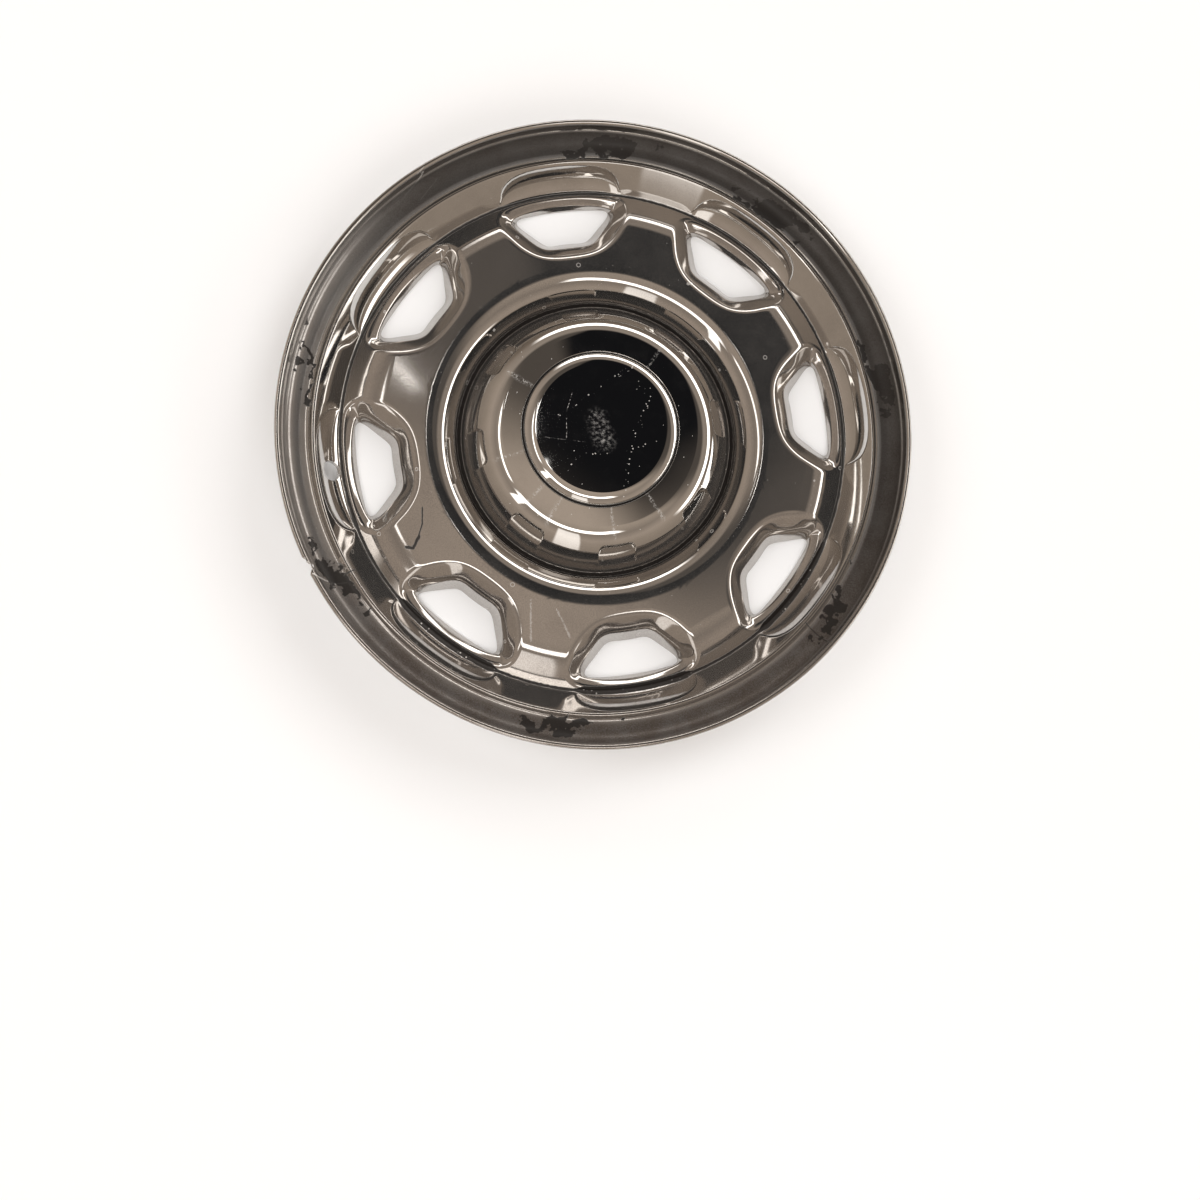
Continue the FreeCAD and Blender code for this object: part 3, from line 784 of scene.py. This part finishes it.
class FinishSettings(bpy.types.PropertyGroup):
    """Colours of the cover's finishes."""

    chrome: bpy.props.FloatVectorProperty(
        name="Chrome", description="Colour of the clean plating", subtype="COLOR", min=0.0, max=1.0,
        default=(0.74, 0.73, 0.71))
    dust: bpy.props.FloatVectorProperty(
        name="Dust", description="Colour of the film of dust on the plating", subtype="COLOR",
        min=0.0, max=1.0, default=(0.19, 0.152, 0.128))
    dried: bpy.props.FloatVectorProperty(
        name="Dried marks", description="Colour of dried drops, specks and scratches", subtype="COLOR",
        min=0.0, max=1.0, default=(0.66, 0.63, 0.60))
    # this colour paints dark marks, and also painted shade in the gutter, the groove, the seam and over the
    # lip, and a painted dark reflection on the lip
    grime_and_shade: bpy.props.FloatVectorProperty(
        name="Grime_and_shade", description="Colour of the dirt in the gutter and the groove", subtype="COLOR",
        min=0.0, max=1.0, default=(0.012, 0.010, 0.009))
    bare: bpy.props.FloatVectorProperty(
        name="Broken plastic", description="Colour of the moulding under its plating", subtype="COLOR",
        min=0.0, max=1.0, default=(0.80, 0.77, 0.73))
    wire: bpy.props.FloatVectorProperty(
        name="Spring wire", description="Colour of the retaining ring", subtype="COLOR", min=0.0, max=1.0,
        default=(0.42, 0.41, 0.40))
    haze: bpy.props.FloatProperty(
        name="Haze", description="How much dust lies on the plating", subtype="FACTOR", min=0.0, max=1.0,
        default=0.5)


class SizeSettings(bpy.types.PropertyGroup):
    """Sizes of the cover's holes, break and legs."""

    valve_hole: bpy.props.FloatProperty(
        name="Valve hole", description="Diameter of the hole for the valve", unit="LENGTH", default=0.0134)
    break_length: bpy.props.FloatProperty(
        name="Break length", description="Length of the break along the rim", unit="LENGTH", default=0.0126)
    break_depth: bpy.props.FloatProperty(
        name="Break depth", description="Depth of the break into the rim", unit="LENGTH", default=0.0039)
    leg_width: bpy.props.FloatProperty(
        name="Leg width", description="Width of a snap leg", unit="LENGTH", default=0.015)


class StageSettings(bpy.types.PropertyGroup):
    """The floor and the camera."""

    floor: bpy.props.FloatVectorProperty(
        name="Floor", description="Colour of the floor", subtype="COLOR", min=0.0, max=1.0,
        default=(0.90, 0.90, 0.905))
    lens: bpy.props.FloatProperty(
        name="Lens", description="Focal length on a 36 mm sensor, in millimetres", default=34.5)


def off_line(flat, *lines):
    """Distance in millimetres from the nearest of lines through points, as seen from the front."""
    nearest = None
    for start, end in (pair for points in lines for pair in zip(points, points[1:])):
        first = Vector((*start, 0.0))
        run = Vector((*end, 0.0)) - first
        away = flat.vector("SUBTRACT", first)
        share = away.vector("DOT_PRODUCT", run / run.length_squared, 1)
        share = share.math("MAXIMUM", 0.0).math("MINIMUM", 1.0)
        foot = Shade.node(flat.tree, "ShaderNodeVectorMath", {"operation": "SCALE"}, {0: run, "Scale": share})
        gap = away.vector("DISTANCE", foot, 1)
        nearest = gap if nearest is None else nearest.math("MINIMUM", gap)
    return nearest


def around(flat):
    """Place round the wheel, from 0 to 1, starting on the left and going by the bottom."""
    across = flat.vector("DOT_PRODUCT", (1.0, 0.0, 0.0), 1)
    upward = flat.vector("DOT_PRODUCT", (0.0, 1.0, 0.0), 1)
    return upward.math("ARCTAN2", across) * (1 / math.tau) + 0.5


def spokes(turn, places, softness):
    """1 at each of the angles, falling to 0 over its half width; angles in degrees, from -180 to 180."""
    stops = [(0.0, (0.0, 0.0, 0.0))]
    for angle, half in sorted(places):
        middle = angle / 360 + 0.5
        reach = half / 360
        stops.append((middle - reach, (0.0, 0.0, 0.0)))
        stops.append((middle - reach * softness, (1.0, 1.0, 1.0)))
        stops.append((middle + reach * softness, (1.0, 1.0, 1.0)))
        stops.append((middle + reach, (0.0, 0.0, 0.0)))
    return Shade.node(turn.tree, "ShaderNodeValToRGB", {"stops": stops}, {"Fac": turn})


def behind_windows(flat):
    """1 on the spokes of the wheel that a window lies on."""
    turn = around(flat) * WINDOWS + (0.5 - WINDOW_TURN / SECTOR)
    off = (turn.math("FRACT") - 0.5).math("ABSOLUTE")
    return off.span(0.25, 0.31, 1.0, 0.0)


def low_side(flat):
    """1 at the bottom of the wheel, 0 from its middle upwards."""
    return flat.vector("DOT_PRODUCT", (0.0, 1.0, 0.0), 1).span(-120.0, -30.0, 1.0, 0.0)


def either(*masks):
    """The largest of several masks."""
    largest = masks[0]
    for mask in masks[1:]:
        largest = largest.math("MAXIMUM", mask)
    return largest


def band(radius, middle, full, faded):
    """1 within a distance of a radius, falling to 0 farther off."""
    return (radius - middle).math("ABSOLUTE").span(full, faded, 1.0, 0.0)


def boss_wear_and_shade(place, flat, radius):
    """Film, pale marks and painted shade on the boss: a scuffed middle, rows of dried drops, and painted
    shade in the seam round its edge.
    """
    film = noise(place, 12.0, 4.0, 0.6).span(0.45, 0.8) * 0.1 + 0.02
    drops = cells(place, 2.3).span(0.14, 0.24, 1.0, 0.0)
    rows = off_line(flat, ((-32, 4), (-16, 16), (8, 33), (31, 47)),
                    ((24, 27), (33, 23), (23, -4), (17, -26), (15, -45)),
                    ((-24, -29), (-14, -19), (9, -16), (36, -9)))
    dotted = rows.span(0.8, 1.7, 1.0, 0.0) * drops
    broken = noise(place, 1.6, 2.0, 0.6)
    scratch = off_line(flat, ((-19, 23), (-23, 10), (-23, -7))) + broken * 1.4
    streak = off_line(flat, ((-38, -7), (-11, -10))) + broken * 1.2
    gaps = noise(place, 5.0, 3.0, 0.6).span(0.42, 0.56)
    scratched = either(scratch.span(0.62, 0.95, 0.55, 0.0), streak.span(0.5, 0.75, 0.35, 0.0)) * gaps
    scuff = off_line(flat, ((-3, 5), (2, -9))).span(1.0, 10.0, 1.0, 0.0)
    scuff = scuff * noise(place, 2.6, 6.0, 0.7).span(0.46, 0.74) * 0.5
    loose = cells(place, 6.5).span(0.03, 0.06, 0.7, 0.0)
    # the third mask is painted shade in the seam's crease
    return film, either(dotted * 0.85, scratched, scuff, loose), band(radius, 51.5, 0.35, 0.9)


def hub_wear_and_shade(place, flat, radius):
    """Film, pale marks and painted shade on the hub: dried streaks and spots, with painted shade on the
    bottom of the groove round it and in the seam.
    """
    film = noise(place, 16.0, 4.0, 0.6).span(0.4, 0.8) * 0.12 + radius.span(74.0, 86.0, 0.05, 0.5)
    wander = noise(place, 9.0, 2.0, 0.5) * 0.006 - 0.003
    streaks = spokes(around(flat) + wander, ((53, 0.7), (148, 1.4), (-163, 0.6), (-135, 1.0), (-120, 1.1),
                                             (-83, 0.7), (-55, 0.8)), 0.5)
    blots = noise(place, 1.5, 3.0, 0.7).span(0.45, 0.62)
    streaks = streaks * blots * band(radius, 62.0, 9.0, 13.0) * 0.5
    loose = cells(place, 7.0).span(0.035, 0.07, 0.7, 0.0)
    # painted shade on the groove's bottom, with a ragged edge, and in the seam's crease
    rough_edge = noise(place, 2.2, 3.0, 0.65) * 0.9
    groove = (radius + rough_edge).span(92.3, 92.9)
    seam = band(radius, 51.6, 0.45, 0.9)
    return film, either(streaks, loose), either(groove, seam)


def face_wear_and_shade(place, flat, radius):
    """Film, pale marks and dark marks on the pierced face: dust, water rings, scratches, fine specks and a
    gouge, with painted shade on the groove's bottom and at the gutter's edge.
    """
    cloud = noise(place, 30.0, 4.0, 0.6).span(0.35, 0.75)
    film = either(radius.span(97.0, 118.0, 0.12, 0.4), radius.span(94.0, 101.0, 0.5, 0.1)) + cloud * 0.12
    spots = cells(place, 19.0)
    rings = (spots - 0.07).math("ABSOLUTE").span(0.008, 0.02, 0.5, 0.0)
    specks = cells(place, 4.2).span(0.035, 0.075, 0.6, 0.0) * noise(place, 22.0).span(0.42, 0.6)
    broken = noise(place, 1.8, 2.0, 0.65)
    streak = off_line(flat, ((-46, -112), (-46, -139)), ((-29, -118), (-20, -137)))
    streaks = (streak + broken * 3.0).span(1.6, 2.4, 0.4, 0.0)
    thin_end = off_line(flat, ((-117, -51), (-117, -62), (-120, -72))) + broken * 0.8
    thick_end = off_line(flat, ((-119, -70), (-123, -78), (-127.5, -77))) + broken * 2.0
    gouge = either(thin_end.span(0.7, 1.1, 0.95, 0.0), thick_end.span(1.7, 2.3, 0.95, 0.0))
    # painted shade on the groove's bottom and at the gutter's edge; behind the lower windows it reaches
    # farther in, where the gutter is dirty
    rough_edge = noise(place, 2.2, 3.0, 0.65) * 1.4
    groove = (radius + rough_edge).span(95.3, 96.0, 1.0, 0.0)
    foot = (radius + rough_edge + behind_windows(flat) * low_side(flat) * 2.2).span(171.3, 172.2)
    return film, either(rings, specks, streaks), either(gouge, groove, foot)


def rim_wear_and_shade(place, flat, radius):
    """Film, pale marks and dark marks on the bowl and the lip: a painted dark reflection in blotches round
    the lip, painted shade over the lip that darkens towards the upper right, and painted shade along the
    gutter, wider where it is dirty.
    """
    upward = flat.vector("DOT_PRODUCT", (0.0, 1.0, 0.0), 1)
    rightward = flat.vector("DOT_PRODUCT", (1.0, 0.0, 0.0), 1)
    cloud = noise(place, 26.0, 4.0, 0.6)
    ragged = noise(place, 7.0, 4.0, 0.7)
    on_lip = radius.span(190.0, 195.0) * radius.span(205.6, 206.8, 1.0, 0.0)
    haze = upward.span(-120.0, 90.0, 0.95, 0.72) * rightward.span(-185.0, -110.0, 0.75, 1.0)
    # blotches painted near-black round the lip: a painted dark reflection of the room where the dust is wiped
    # off the plating
    turn = around(flat) + (noise(place, 13.0, 3.0, 0.6) - 0.5) * 0.09 + (radius - 197.0) * 0.0013
    painted_reflection_patches = spokes(turn, ((13, 9.0), (52, 12.0), (90, 8.0), (168, 3.0), (-150, 10.0), (-99, 6.5),
                            (-37, 5.0)), 0.1)
    painted_reflection_patches = painted_reflection_patches * band(radius, 197.5, 4.0, 11.0) + (ragged - 0.5) * 1.5
    painted_reflection_patches = painted_reflection_patches.span(0.4, 0.58)
    # painted shade over the lip, darker towards the upper right and lighter towards the left, and a painted
    # dark band along the trough at the bottom
    deep = (upward * 1.4 + rightward).span(-120.0, 160.0, 0.6, 0.88)
    deep = deep * rightward.span(-205.0, -140.0, 0.45, 1.0)
    deep = either(deep, band(radius, 190.5, 2.0, 5.0) * low_side(flat) * 0.8) * on_lip
    lip_film = haze * (cloud.span(0.3, 0.7) * 0.25 + 0.8)
    film = on_lip * lip_film + (1 - on_lip) * (cloud.span(0.35, 0.75) * 0.15 + low_side(flat) * 0.3 + 0.15)
    specks = cells(place, 3.0).span(0.04, 0.085, 0.6, 0.0) * noise(place, 18.0).span(0.45, 0.62)
    broken = noise(place, 1.4, 2.0, 0.6)
    craze = off_line(flat, ((-184, -97), (-178, -100), (-172, -102), (-165, -101)))
    scratch = off_line(flat, ((-129, 158), (-116, 172)), ((-119, 157), (-108, 171)))
    lines = either((craze + broken * 0.5).span(0.5, 0.8, 0.9, 0.0),
                   (scratch + broken * 0.8).span(0.5, 0.8, 0.45, 0.0))
    # near-black along the gutter's channel as painted shade, widened behind the lower windows where the
    # gutter is dirty
    dirty = behind_windows(flat) * low_side(flat)
    dirt_and_shade = (radius + ragged * 1.6 - dirty * 1.4).span(173.5, 174.4, 0.95, 0.0)
    crumbs = cells(place, 2.6).span(0.16, 0.26, 0.85, 0.0) * dirty * band(radius, 172.6, 1.6, 3.2)
    crumbs = crumbs * noise(place, 6.0).span(0.46, 0.56)
    crack = off_line(flat, ((-168, -97), (-160, -92.5)), ((138, -128), (151, -141)))
    cracks = (crack + broken * 0.5).span(0.55, 0.85, 0.9, 0.0)
    marks = either(specks * (1 - painted_reflection_patches), lines, crumbs)
    return film, marks, either(dirt_and_shade * (1 - crumbs), cracks, painted_reflection_patches * 0.96, deep)


def worn_and_shaded_chrome(name, finish, wear_and_shade):
    """Bright plating with a brown film, pale dried marks, and dark marks mixed with painted shade and painted
    reflection.
    """
    material, tree = new_material(name)
    place = place_in_mm(tree)
    flat = place.vector("MULTIPLY", (1.0, 1.0, 0.0))
    film, marks, grime_and_shade = wear_and_shade(place, flat, flat.vector("LENGTH", None, 1))
    grain = noise(place, 0.7, 2.0, 0.7).span(0.2, 0.8, 0.7, 1.3)
    film = (film * grain * (2 * finish.haze)).math("MINIMUM", 1.0)
    colour = film.blend(finish.chrome, finish.dust)
    # mixed last: a near-black that stands for dark marks and also paints shade and dark reflection
    colour = grime_and_shade.blend(marks.blend(colour, finish.dried), finish.grime_and_shade)
    clean = (1 - marks * 0.85) * (1 - grime_and_shade * 0.9)
    shader = Shade.node(tree, "ShaderNodeBsdfPrincipled", None, {
        "Base Color": colour,
        "Metallic": clean * (1 - film * film * 0.3),
        "Roughness": film * film * 0.22 + (1 - clean) * 0.3 + 0.03,
        "Specular IOR Level": 0.3,
    })
    show(tree, shader)
    return material


def plated_back(finish):
    """The duller plating of the moulding's back."""
    material, tree = new_material("plated_back")
    place = place_in_mm(tree)
    cloud = noise(place, 24.0, 4.0, 0.6)
    shader = Shade.node(tree, "ShaderNodeBsdfPrincipled", None, {
        "Base Color": (cloud.span(0.3, 0.7) * 0.35).blend(finish.chrome, finish.dust),
        "Metallic": cloud.span(0.3, 0.75, 0.95, 0.7),
        "Roughness": cloud.span(0.3, 0.7, 0.24, 0.42),
    })
    show(tree, shader)
    return material


def broken_plastic(finish):
    """Torn plastic with whitened edges."""
    material, tree = new_material("broken_plastic")
    place = place_in_mm(tree)
    torn = noise(place, 0.8, 4.0, 0.65)
    bump = Shade.node(tree, "ShaderNodeBump", None, {"Strength": 0.6, "Distance": 0.0004, "Height": torn})
    shader = Shade.node(tree, "ShaderNodeBsdfPrincipled", None, {
        "Base Color": torn.span(0.35, 0.65).blend(finish.dust, finish.bare),
        "Roughness": 0.62,
        "Normal": bump,
    })
    show(tree, shader)
    return material


def spring_wire(finish):
    """Drawn steel wire with a few dull spots."""
    material, tree = new_material("spring_wire")
    place = place_in_mm(tree)
    dull = noise(place, 9.0, 4.0, 0.65).span(0.5, 0.72)
    shader = Shade.node(tree, "ShaderNodeBsdfPrincipled", None, {
        "Base Color": (dull * 0.6).blend(finish.wire, (0.16, 0.10, 0.065)),
        "Metallic": dull.span(0.0, 1.0, 0.98, 0.55),
        "Roughness": dull.span(0.0, 1.0, 0.3, 0.6),
    })
    show(tree, shader)
    return material


class WHEELCOVER_OT_cover(bpy.types.Operator):
    """Builds the moulded cover with its windows, valve hole and broken rim"""

    bl_idname = "wheel_cover.cover"
    bl_label = "Build cover"

    def execute(self, context):
        finish = context.scene.wheel_cover_finish
        sizes = context.scene.wheel_cover_sizes
        cover = new_piece("cover", model_cover)
        for name, wear_and_shade in (("boss_chrome", boss_wear_and_shade), ("hub_chrome", hub_wear_and_shade), ("face_chrome", face_wear_and_shade),
                           ("rim_chrome", rim_wear_and_shade)):
            cover.data.materials.append(worn_and_shaded_chrome(name, finish, wear_and_shade))
        back = plated_back(finish)
        broken = broken_plastic(finish)
        cover.data.materials.append(back)
        cover.data.materials.append(broken)
        valve = new_piece("valve_cutter", model_valve_cutter, sizes.valve_hole / MM)
        valve.data.materials.append(back)
        cut_out(cover, valve)
        chip = new_piece("break_cutter", model_break_cutter, sizes.break_length / MM, sizes.break_depth / MM)
        chip.data.materials.append(broken)
        cut_out(cover, chip)
        smooth_over(cover, COVER_SHARP)
        even_mirror(cover, *BOSS_MIRROR)
        even_mirror(cover, *FACE_MIRROR)
        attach(cover, "root")
        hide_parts("wheel_cover")
        return {"FINISHED"}


class WHEELCOVER_OT_legs(bpy.types.Operator):
    """Builds the snap legs on the cover's back"""

    bl_idname = "wheel_cover.legs"
    bl_label = "Build snap legs"

    def execute(self, context):
        sizes = context.scene.wheel_cover_sizes
        legs = new_piece("snap_legs", model_legs, sizes.leg_width / MM)
        legs.data.materials.append(bpy.data.materials["plated_back"])
        legs.data.shade_smooth()
        legs.data.set_sharp_from_angle(angle=math.radians(LEG_SHARP))
        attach(legs, "root")
        return {"FINISHED"}


class WHEELCOVER_OT_ring(bpy.types.Operator):
    """Gives the retaining ring its drawn-wire finish"""

    bl_idname = "wheel_cover.ring"
    bl_label = "Finish retaining ring"

    def execute(self, context):
        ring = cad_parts["retaining_ring"]
        wire = spring_wire(context.scene.wheel_cover_finish)
        for slot in ring.material_slots:
            slot.link = "OBJECT"
            slot.material = wire
        if not ring.material_slots:
            ring.data.materials.append(wire)
        return {"FINISHED"}


def aimed(azimuth, from_zenith):
    """A direction from its azimuth and its angle from the zenith, in degrees."""
    turn, lean = math.radians(azimuth), math.radians(from_zenith)
    return Vector((math.cos(turn) * math.sin(lean), math.sin(turn) * math.sin(lean), math.cos(lean)))


# soft lights in the room: azimuth and half width, nearest and farthest angle from the zenith, softness
# of the edges, and level; angles in degrees
SOFT_LIGHTS = (
    (40, 76, 60, 69.5, 1.5, 3.2),
    (-10, 22, 81, 87, 1.2, 3.0),
    (250, 54, 20.5, 28.5, 1.2, 3.0),
    (158, 32, 20.5, 25, 1.0, 2.4),
    (210, 5, 22, 50, 2.0, 1.6),
    (255, 9, 36, 74, 2.0, 0.9),
    (92, 1.9, 12.8, 16.0, 0.4, 5.0),
    (86, 2.2, 9.4, 10.6, 0.3, 4.0),
    (116.8, 0.8, 18.4, 22.0, 0.4, 3.0),
)


def light_room():
    """A dim warm room: pale on the lower left, dark on the upper right, with soft lights."""
    world = bpy.data.worlds.new("room")
    world.use_nodes = True
    tree = world.node_tree
    tree.nodes.clear()
    way = Shade.node(tree, "ShaderNodeTexCoord", None, None, 0).vector("NORMALIZE")
    level_way = way.vector("MULTIPLY", (1.0, 1.0, 0.0)).vector("NORMALIZE")
    height = way.vector("DOT_PRODUCT", (0.0, 0.0, 1.0), 1)
    from_zenith = height.math("ARCCOSINE") * (180 / math.pi)

    def toward(azimuth):
        return level_way.vector("DOT_PRODUCT", aimed(azimuth, 90), 1) * from_zenith

    pale = Shade.node(tree, "ShaderNodeValToRGB", {"stops": (
        (0.0, (0.50, 0.41, 0.335)), (0.2, (0.42, 0.345, 0.28)), (0.38, (0.31, 0.255, 0.21)),
        (0.6, (0.44, 0.36, 0.295)), (0.8, (0.38, 0.31, 0.25)), (1.0, (0.32, 0.265, 0.215)))},
        {"Fac": from_zenith / 90})
    dim = Shade.node(tree, "ShaderNodeValToRGB", {"stops": (
        (0.0, (0.095, 0.08, 0.068)), (0.42, (0.095, 0.08, 0.068)), (0.5, (0.36, 0.30, 0.25)),
        (0.72, (0.30, 0.245, 0.20)), (0.85, (0.20, 0.155, 0.12)), (1.0, (0.18, 0.145, 0.115)))},
        {"Fac": from_zenith / 90})
    beyond = toward(60) / (from_zenith * 0.25 + 4.0)
    on_dim_side = beyond.span(0.4, 1.7)
    walls = on_dim_side.blend(pale, dim)
    core = (toward(150) - from_zenith * 0.39).span(1.0, 3.5, 1.0, 0.0) * toward(150).span(-14, -9)
    core = core * on_dim_side * from_zenith.span(38, 44, 1.0, 0.0)
    walls = core.blend(walls, (0.008, 0.008, 0.009))
    glow = None
    for azimuth, reach, near, far, soft, level in SOFT_LIGHTS:
        off = level_way.vector("DOT_PRODUCT", aimed(azimuth, 90), 1).math("ARCCOSINE") * (180 / math.pi)
        strip = from_zenith.span(near - soft, near + soft)
        strip = strip * from_zenith.span(far - soft, far + soft, 1.0, 0.0)
        patch = strip * off.span(reach * 0.8, reach, 1.0, 0.0) * level
        glow = patch if glow is None else glow + patch
    base = Shade.node(tree, "ShaderNodeBackground", None, {"Color": walls, "Strength": 1.0})
    lights = Shade.node(tree, "ShaderNodeBackground", None,
                        {"Color": (1.0, 0.975, 0.945, 1.0), "Strength": glow})
    both = Shade.node(tree, "ShaderNodeAddShader", None, {0: base, 1: lights})
    Shade.node(tree, "ShaderNodeOutputWorld", None, {"Surface": both})
    bpy.context.scene.world = world


def floor_material(colour):
    """Plain pale floor; seen directly it is nearly white, and it keeps the shadow."""
    material, tree = new_material("floor")
    plain = Shade.node(tree, "ShaderNodeBsdfDiffuse", None, {"Color": opaque(colour)})
    glow = Shade.node(tree, "ShaderNodeEmission", None, {"Color": (1.0, 1.0, 1.0, 1.0), "Strength": 1.0})
    seen = Shade.node(tree, "ShaderNodeLightPath", None, None, 0)
    mirrored_too = Shade.node(tree, "ShaderNodeLightPath", None, None, 3)
    through_too = Shade.node(tree, "ShaderNodeLightPath", None, None, 7)
    share = (seen + mirrored_too + through_too).math("MINIMUM", 1.0) * FLOOR_GLOW
    show(tree, Shade.node(tree, "ShaderNodeMixShader", None, {0: share, 1: plain, 2: glow}))
    return material


# place in metres and power in watts of each lamp
LAMPS = (
    ("left_lamp", (-1.8, 0.4, 1.7), 20.0),
    ("right_lamp", (1.5, 1.3, 1.7), 19.5),
    ("near_lamp", (0.5, -1.8, 1.7), 19.5),
)
LAMP_SIZE = 1.4
# half the width of the floor, and how far it lies below the part, in metres
FLOOR_REACH = 6.0
FLOOR_GAP = 0.0003
# share of plain white in the floor as it is seen
FLOOR_GLOW = 0.12
# the camera's place in millimetres, and the directions of its right and its top
CAMERA_PLACE = Vector((-76.16, -177.97, 773.68))
CAMERA_RIGHT = Vector((0.99504, -0.00869, 0.09934))
CAMERA_UP = Vector((0.0, 0.99621, 0.08689))


def add_lamp(name, place, energy):
    """A round soft lamp aimed at the middle of the floor; the plating doesn't mirror it."""
    light = bpy.data.lights.new(name, "AREA")
    light.shape = "DISK"
    light.size = LAMP_SIZE
    light.energy = energy
    light.color = (0.965, 0.985, 1.0)
    lamp = bpy.data.objects.new(name, light)
    lamp.location = place
    lamp.rotation_mode = "QUATERNION"
    lamp.rotation_quaternion = (-lamp.location).to_track_quat("-Z", "Y")
    lamp.visible_glossy = False
    bpy.context.scene.collection.objects.link(lamp)


class WHEELCOVER_OT_stage(bpy.types.Operator):
    """Sets the floor, the lamps, the room's light and the camera"""

    bl_idname = "wheel_cover.stage"
    bl_label = "Set stage"

    def execute(self, context):
        scene = context.scene
        stage = scene.wheel_cover_stage
        bm = bmesh.new()
        bmesh.ops.create_grid(bm, x_segments=2, y_segments=2, size=FLOOR_REACH)
        mesh = bpy.data.meshes.new("floor")
        bm.to_mesh(mesh)
        bm.free()
        floor = bpy.data.objects.new("floor", mesh)
        floor.location = (0.0, 0.0, CAD_BOX[0].z - FLOOR_GAP)
        floor.data.materials.append(floor_material(stage.floor))
        scene.collection.objects.link(floor)
        for lamp in LAMPS:
            add_lamp(*lamp)
        light_room()
        lens = bpy.data.cameras.new("camera")
        lens.lens = stage.lens
        lens.sensor_width = 36.0
        camera = bpy.data.objects.new("camera", lens)
        back = CAMERA_RIGHT.cross(CAMERA_UP).normalized()
        up = back.cross(CAMERA_RIGHT).normalized()
        axes = Matrix((CAMERA_RIGHT.normalized(), up, back)).transposed()
        camera.matrix_world = Matrix.Translation(CAMERA_PLACE * MM) @ axes.to_4x4()
        scene.collection.objects.link(camera)
        scene.camera = camera
        scene.view_settings.view_transform = "Standard"
        return {"FINISHED"}


class WHEELCOVER_PT_panel(bpy.types.Panel):
    """The cover's operators and settings"""

    bl_idname = "WHEELCOVER_PT_panel"
    bl_label = "Wheel cover"
    bl_space_type = "VIEW_3D"
    bl_region_type = "UI"
    bl_category = "Wheel cover"

    def draw(self, context):
        layout = self.layout
        for settings in (context.scene.wheel_cover_sizes, context.scene.wheel_cover_finish,
                         context.scene.wheel_cover_stage):
            box = layout.box()
            for name in settings.bl_rna.properties.keys():
                if name not in ("rna_type", "name"):
                    box.prop(settings, name)
        for operator in OPERATORS:
            layout.operator(operator.bl_idname)


SETTINGS = (FinishSettings, SizeSettings, StageSettings)
OPERATORS = (WHEELCOVER_OT_cover, WHEELCOVER_OT_legs, WHEELCOVER_OT_ring, WHEELCOVER_OT_stage)


def register():
    for item in (*SETTINGS, *OPERATORS, WHEELCOVER_PT_panel):
        bpy.utils.register_class(item)
    bpy.types.Scene.wheel_cover_finish = bpy.props.PointerProperty(type=FinishSettings)
    bpy.types.Scene.wheel_cover_sizes = bpy.props.PointerProperty(type=SizeSettings)
    bpy.types.Scene.wheel_cover_stage = bpy.props.PointerProperty(type=StageSettings)


def unregister():
    del bpy.types.Scene.wheel_cover_stage
    del bpy.types.Scene.wheel_cover_sizes
    del bpy.types.Scene.wheel_cover_finish
    for item in reversed((*SETTINGS, *OPERATORS, WHEELCOVER_PT_panel)):
        bpy.utils.unregister_class(item)


def main():
    register()
    bpy.ops.wheel_cover.cover()
    bpy.ops.wheel_cover.legs()
    bpy.ops.wheel_cover.ring()
    bpy.ops.wheel_cover.stage()


if __name__ == "__main__":
    main()
